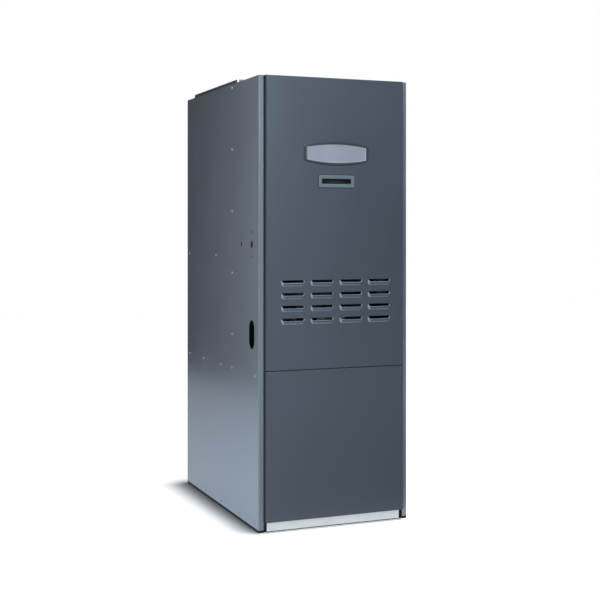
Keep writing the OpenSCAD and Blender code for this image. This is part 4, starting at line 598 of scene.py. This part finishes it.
lips = {
    "columns": 4, "rows": 4, "pitchX": 103.0, "pitchZ": 41.0, "topCut": 811.0, "doorFace": -16.0,
    "length": 79.0, "height": 18.5, "proud": 8.0, "share": 0.62,  # the share of the height that curves
    "cutSlope": 1.19, "cutDrop": 0.15, "cover": 0.25, "sheet": 1.55,  # cover is the skin's margin over the solid
    # the fillet's width, the degrees that it climbs at most, its bulge, and how tall a lip has its full width
    "fillet": 2.6, "filletClimb": 24, "filletBulge": 0.12, "filletFull": 0.7, "overDoor": 0.02,
    "endTop": -0.05, "insideEnd": 0.3,  # where the root starts below the slot, and how much of the inside is left out
    "endPoints": 5, "cornerPoints": 10, "bottomPoints": 11, "filletPoints": 4, "climbPoints": 10, "backPoints": 5,
}


def louverLips(look):
    # One lip is half of an ellipsoid drawn out sideways. The first parameter runs round its root: down the left
    # end, along the bottom and up the right end, with C the spine's point and D the way from it to the root.
    # The second climbs it by an angle b: the point is C + D cos b and it stands out by proud * sin b. The lip ends
    # where the press cut it, on the plane z = cutDrop - cutSlope * stand, so R sin(b - d) = cutDrop - Cz, with R and
    # d from cutSlope * proud and Dz. A quadratic fillet eases the root out of the door, and the sheet's edge and
    # inner face follow behind the cut.
    run = look["length"] / 2 - look["proud"]
    spine = -look["height"] * (1 - look["share"])
    proud = look["proud"] + look["cover"]
    drop = look["height"] * look["share"] + look["cover"]
    end, corner, bottom = look["endPoints"], look["cornerPoints"], look["bottomPoints"]
    turn = np.radians(np.linspace(90, 0, corner))
    endZ = np.linspace(look["endTop"], spine, end + 1)[:-1]
    bottomX = np.linspace(-run, run, bottom + 2)[1:-1]
    cx = np.concatenate([np.full(end + corner, -run), bottomX, np.full(corner + end, run)])
    cz = np.concatenate([endZ, np.full(2 * corner + bottom, spine), endZ[::-1]])
    sideways = np.concatenate([-np.ones(end), -np.sin(turn), np.zeros(bottom), np.sin(turn[::-1]), np.ones(end)])
    downward = np.concatenate([np.zeros(end), np.cos(turn), np.ones(bottom), np.cos(turn[::-1]), np.zeros(end)])

    def cutAngle(a, b):
        rise, fall = look["cutSlope"] * a, b * downward
        return np.arctan2(fall, rise) + np.arcsin(np.clip((look["cutDrop"] - cz) / np.hypot(rise, fall), -1, 1))

    outer = np.minimum(cutAngle(proud, drop), np.pi / 2)
    thin = look["sheet"]
    inner = np.minimum(cutAngle(proud - thin, drop - thin), np.pi / 2)

    # across the lip: up the fillet, up the outside to the cut, and back down the inside
    start = np.minimum(np.radians(look["filletClimb"]), outer * 0.5)
    width = look["fillet"] * np.minimum(1, outer / look["filletFull"])
    q = np.linspace(0, 1, look["filletPoints"] + 1)[None, :-1]
    root = (1 + width / np.hypot(proud * sideways, drop * downward))[:, None]
    middle = 2 * q * (1 - q)
    startOut = (proud * np.sin(start))[:, None]
    filletIn = (1 - q) ** 2 * root + middle + q ** 2 * np.cos(start)[:, None]
    filletOut = middle * look["filletBulge"] * startOut + q ** 2 * startOut + look["overDoor"]
    climb = start[:, None] + (outer - start)[:, None] * np.linspace(0, 1, look["climbPoints"])[None]
    back = inner[:, None] * np.linspace(1, look["insideEnd"], look["backPoints"])[None]
    scaleX, scaleZ = proud * sideways[:, None], -drop * downward[:, None]
    thinX, thinZ = (proud - thin) * sideways[:, None], -(drop - thin) * downward[:, None]
    x = cx[:, None] + np.concatenate([scaleX * filletIn, scaleX * np.cos(climb), thinX * np.cos(back)], 1)
    z = cz[:, None] + np.concatenate([scaleZ * filletIn, scaleZ * np.cos(climb), thinZ * np.cos(back)], 1)
    stand = np.concatenate([filletOut, proud * np.sin(climb), (proud - thin) * np.sin(back)], 1)
    one = np.stack([x, look["doorFace"] - stand, z], -1)

    # the same lip in every place of the rows and columns
    rows, columns = x.shape
    quads = gridQuads(rows, columns)
    column, row = np.meshgrid(np.arange(look["columns"]), np.arange(look["rows"]), indexing="ij")
    shift = np.stack([(column.ravel() - (look["columns"] - 1) / 2) * look["pitchX"], np.zeros(column.size),
                      look["topCut"] - row.ravel() * look["pitchZ"]], -1)
    points = (one.reshape(1, -1, 3) + shift[:, None]).reshape(-1, 3)
    faces = (quads[None] + (np.arange(len(shift)) * rows * columns)[:, None, None]).reshape(-1, 4)
    a, b, c = one.reshape(-1, 3)[quads[(rows // 2) * (columns - 1) + 8][:3]]  # on the outside, at the lip's middle
    if np.cross(b - a, c - a)[1] > 0:  # the outside looks forwards, along -y
        faces = faces[:, ::-1]
    return addPiece("louver_lips", points, faces.tolist(), [lipLitEnamel], "upper_door")


louverLips(lips)
print("louvre lips pressed")


# moulded finger pull

pull = {
    "height": 1134.0, "doorFace": -16.0, "proud": 3.0,
    "halfWidth": 64.0, "halfHeight": 20.5, "slotHalfWidth": 52.0, "slotHalfHeight": 8.0,
    "pocketBack": 5.9, "pocketEnd": 8.0, "wall": 2.0, "seal": 1.8, "sealProud": 0.5,
}


def fingerPull(look):
    # Rings from the pocket's floor out to the front, over the frame and back round the pocket's outside. A ring
    # is a rounded rectangle between the slot's outline (share 0) and the frame's (share 1), grown by a margin. The
    # pocket and a thin seal round the frame are near black: painted shade in the pocket and a painted shadow line
    # where the frame meets the door.
    face = look["doorFace"]
    front = face - look["proud"]
    plan = [  # share, margin, y
        (0, 0, look["pocketBack"]), (0, 0, front + 2.0), (0, 0.25, front + 1.1), (0, 0.9, front + 0.5),
        (0, 2.2, front + 0.25), (0.5, 0, front + 0.1), (1, -1.5, front), (1, -0.7, front + 0.12),
        (1, -0.15, front + 0.55), (1, 0, front + 1.2), (1, 0, face - look["sealProud"]),
        (1, look["seal"], face - look["sealProud"]), (1, look["seal"], face + 0.02), (0, look["wall"], face + 0.02),
        (0, look["wall"], look["pocketEnd"]),
    ]
    rings = []
    for share, margin, y in plan:
        halfW = look["slotHalfWidth"] + share * (look["halfWidth"] - look["slotHalfWidth"]) + margin
        halfH = look["slotHalfHeight"] + share * (look["halfHeight"] - look["slotHalfHeight"]) + margin
        outline = roundedOutline(halfW, halfH, 2.0 + share * 1.5 + max(margin, -1))
        rings.append(np.stack([outline[:, 0], np.full(len(outline), y), outline[:, 1] + look["height"]], -1))
    points, faces = closedSkin(np.array(rings))
    around = len(rings[0])
    index = np.zeros(len(faces), int)
    index[:around] = 1  # the pocket's walls, near black for painted shade
    index[10 * around:12 * around] = 1  # the seal, near black for a painted shadow line
    index[-2] = 1  # the pocket's floor, near black for painted shade
    piece = addPiece("finger_pull", points, faces, [pullPlastic, pocketShadePlastic], "upper_door", index)
    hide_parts("handle_insert")
    return piece


fingerPull(pull)
print("finger pull moulded")


# bare plate

plate = {
    "height": 1225.0, "doorFace": -16.0, "thickness": 3.0,
    "halfWidth": 115.5, "halfHeight": 39.5, "corner": 9.0, "bow": 15.0, "border": 9.0,
    # two colours, metallic and roughness
    "face": ("#747985", "#7E838E", 0.35, 0.42), "frame": ("#101218", "#15171E", 0.0, 0.4),
}


def platePaint(name, low, high, metallic, rough):
    # Printed and clear-coated aluminium: satin, its rolling lines just showing along x at 1.2 mm
    return drawnMetal(name, {"low": low, "high": high, "rough": rough, "metallic": metallic,
                             "lineMm": 1.2, "stainMm": 70, "along": "x"})


def barePlate(look):
    # Rings go from the back over the raised border to the crowned face. Each is a rounded rectangle drawn in by an
    # inset, and z is then scaled by 1 - (bow / halfHeight) (x / halfWidth)^2, so that the long edges bow out.
    back, front = look["doorFace"] + 0.05, look["doorFace"] - look["thickness"]
    rim = look["border"]
    plan = [  # inset, y
        (0.0, back), (0.0, front + 1.2), (0.25, front + 0.5), (0.8, front + 0.1), (1.5, front), (rim - 1.6, front),
        (rim - 0.9, front + 0.1), (rim - 0.4, front + 0.5), (rim, front + 1.0), (rim + 6, front + 0.95),
        (rim + 16, front + 0.85), (rim + 26, front + 0.75),
    ]
    rings = []
    for inset, y in plan:
        outline = roundedOutline(look["halfWidth"] - inset, look["halfHeight"] - inset,
                                 max(look["corner"] - inset, 1.0), perCorner=7, alongEdge=20)
        z = outline[:, 1] * (1 - look["bow"] / look["halfHeight"] * (outline[:, 0] / look["halfWidth"]) ** 2)
        rings.append(np.stack([outline[:, 0], np.full(len(outline), y), z + look["height"]], -1))
    points, faces = closedSkin(np.array(rings))
    around = len(rings[0])
    index = np.zeros(len(faces), int)
    index[:8 * around] = 1  # the raised border
    index[-2] = 1  # the back
    face = platePaint("satinPlateFace", *look["face"])
    border = platePaint("darkPlateBorder", *look["frame"])
    piece = addPiece("bare_plate", points, faces, [face, border], "upper_door", index)
    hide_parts("name_plate")
    return piece


barePlate(plate)
print("plate stamped")


# flexible armoured conduits

conduits = {"radius": 9.0, "groove": 0.9, "pitch": 6.0, "bend": 30.0, "perTurn": 6, "around": 20}
conduitRoutes = {
    "burner_conduit": [(-240.5, 66, 882.5), (-240.5, 66, 757), (-240.5, 159, 757), (-111.6, 159, 757)],
    "limit_conduit": [(-240.5, 66, 972.5), (-240.5, 66, 1060.2), (-240.5, 227, 1060.2), (117, 227, 1060.2)],
}


def routePoints(corners, bend, step):
    # straight runs joined by quarter circles of that radius: points every step along the way, and their directions
    corners = np.array(corners, float)
    way = np.diff(corners, axis=0)
    length = np.linalg.norm(way, axis=1)
    way /= length[:, None]
    points, ahead = [], []
    for i in range(len(way)):
        first = bend if i else 0
        last = length[i] - (bend if i < len(way) - 1 else 0)
        s = np.linspace(first, last, max(int((last - first) / step), 2), endpoint=i == len(way) - 1)
        points.append(corners[i] + way[i] * s[:, None])
        ahead.append(np.repeat(way[i][None], len(s), 0))
        if i < len(way) - 1:
            t = np.linspace(0, np.pi / 2, int(bend * np.pi / 2 / step), endpoint=False)[:, None]
            points.append(corners[i + 1] - way[i] * bend * (1 - np.sin(t)) + way[i + 1] * bend * (1 - np.cos(t)))
            ahead.append(way[i] * np.cos(t) + way[i + 1] * np.sin(t))
    return np.concatenate(points), np.concatenate(ahead)


def armouredConduit(name, corners, look):
    # A circle carried along the route, whose radius is radius - groove (1 + cos(2 pi (s / pitch) - a)) / 2, so that
    # the groove winds once round in each pitch
    path, ahead = routePoints(corners, look["bend"], look["pitch"] / look["perTurn"])
    s = np.concatenate([[0], np.cumsum(np.linalg.norm(np.diff(path, axis=0), axis=1))])[:, None]
    side = np.cross(ahead, [0.577, 0.577, 0.577])  # a slanted way, which no run of the route lies along
    side /= np.linalg.norm(side, axis=1)[:, None]
    over = np.cross(ahead, side)
    a = np.linspace(0, 2 * np.pi, look["around"], endpoint=False)[None]
    radius = look["radius"] - look["groove"] * (1 + np.cos(2 * np.pi * s / look["pitch"] - a)) / 2
    rings = path[:, None] + side[:, None] * (radius * np.cos(a))[..., None]
    rings = rings + over[:, None] * (radius * np.sin(a))[..., None]
    points, faces = closedSkin(rings)
    piece = addPiece(name.replace("_", "_armoured_"), points, faces, [galvanisedSheet], "root")
    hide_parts(name)
    return piece


for name, corners in conduitRoutes.items():
    armouredConduit(name, corners, conduits)
print("conduits wound")
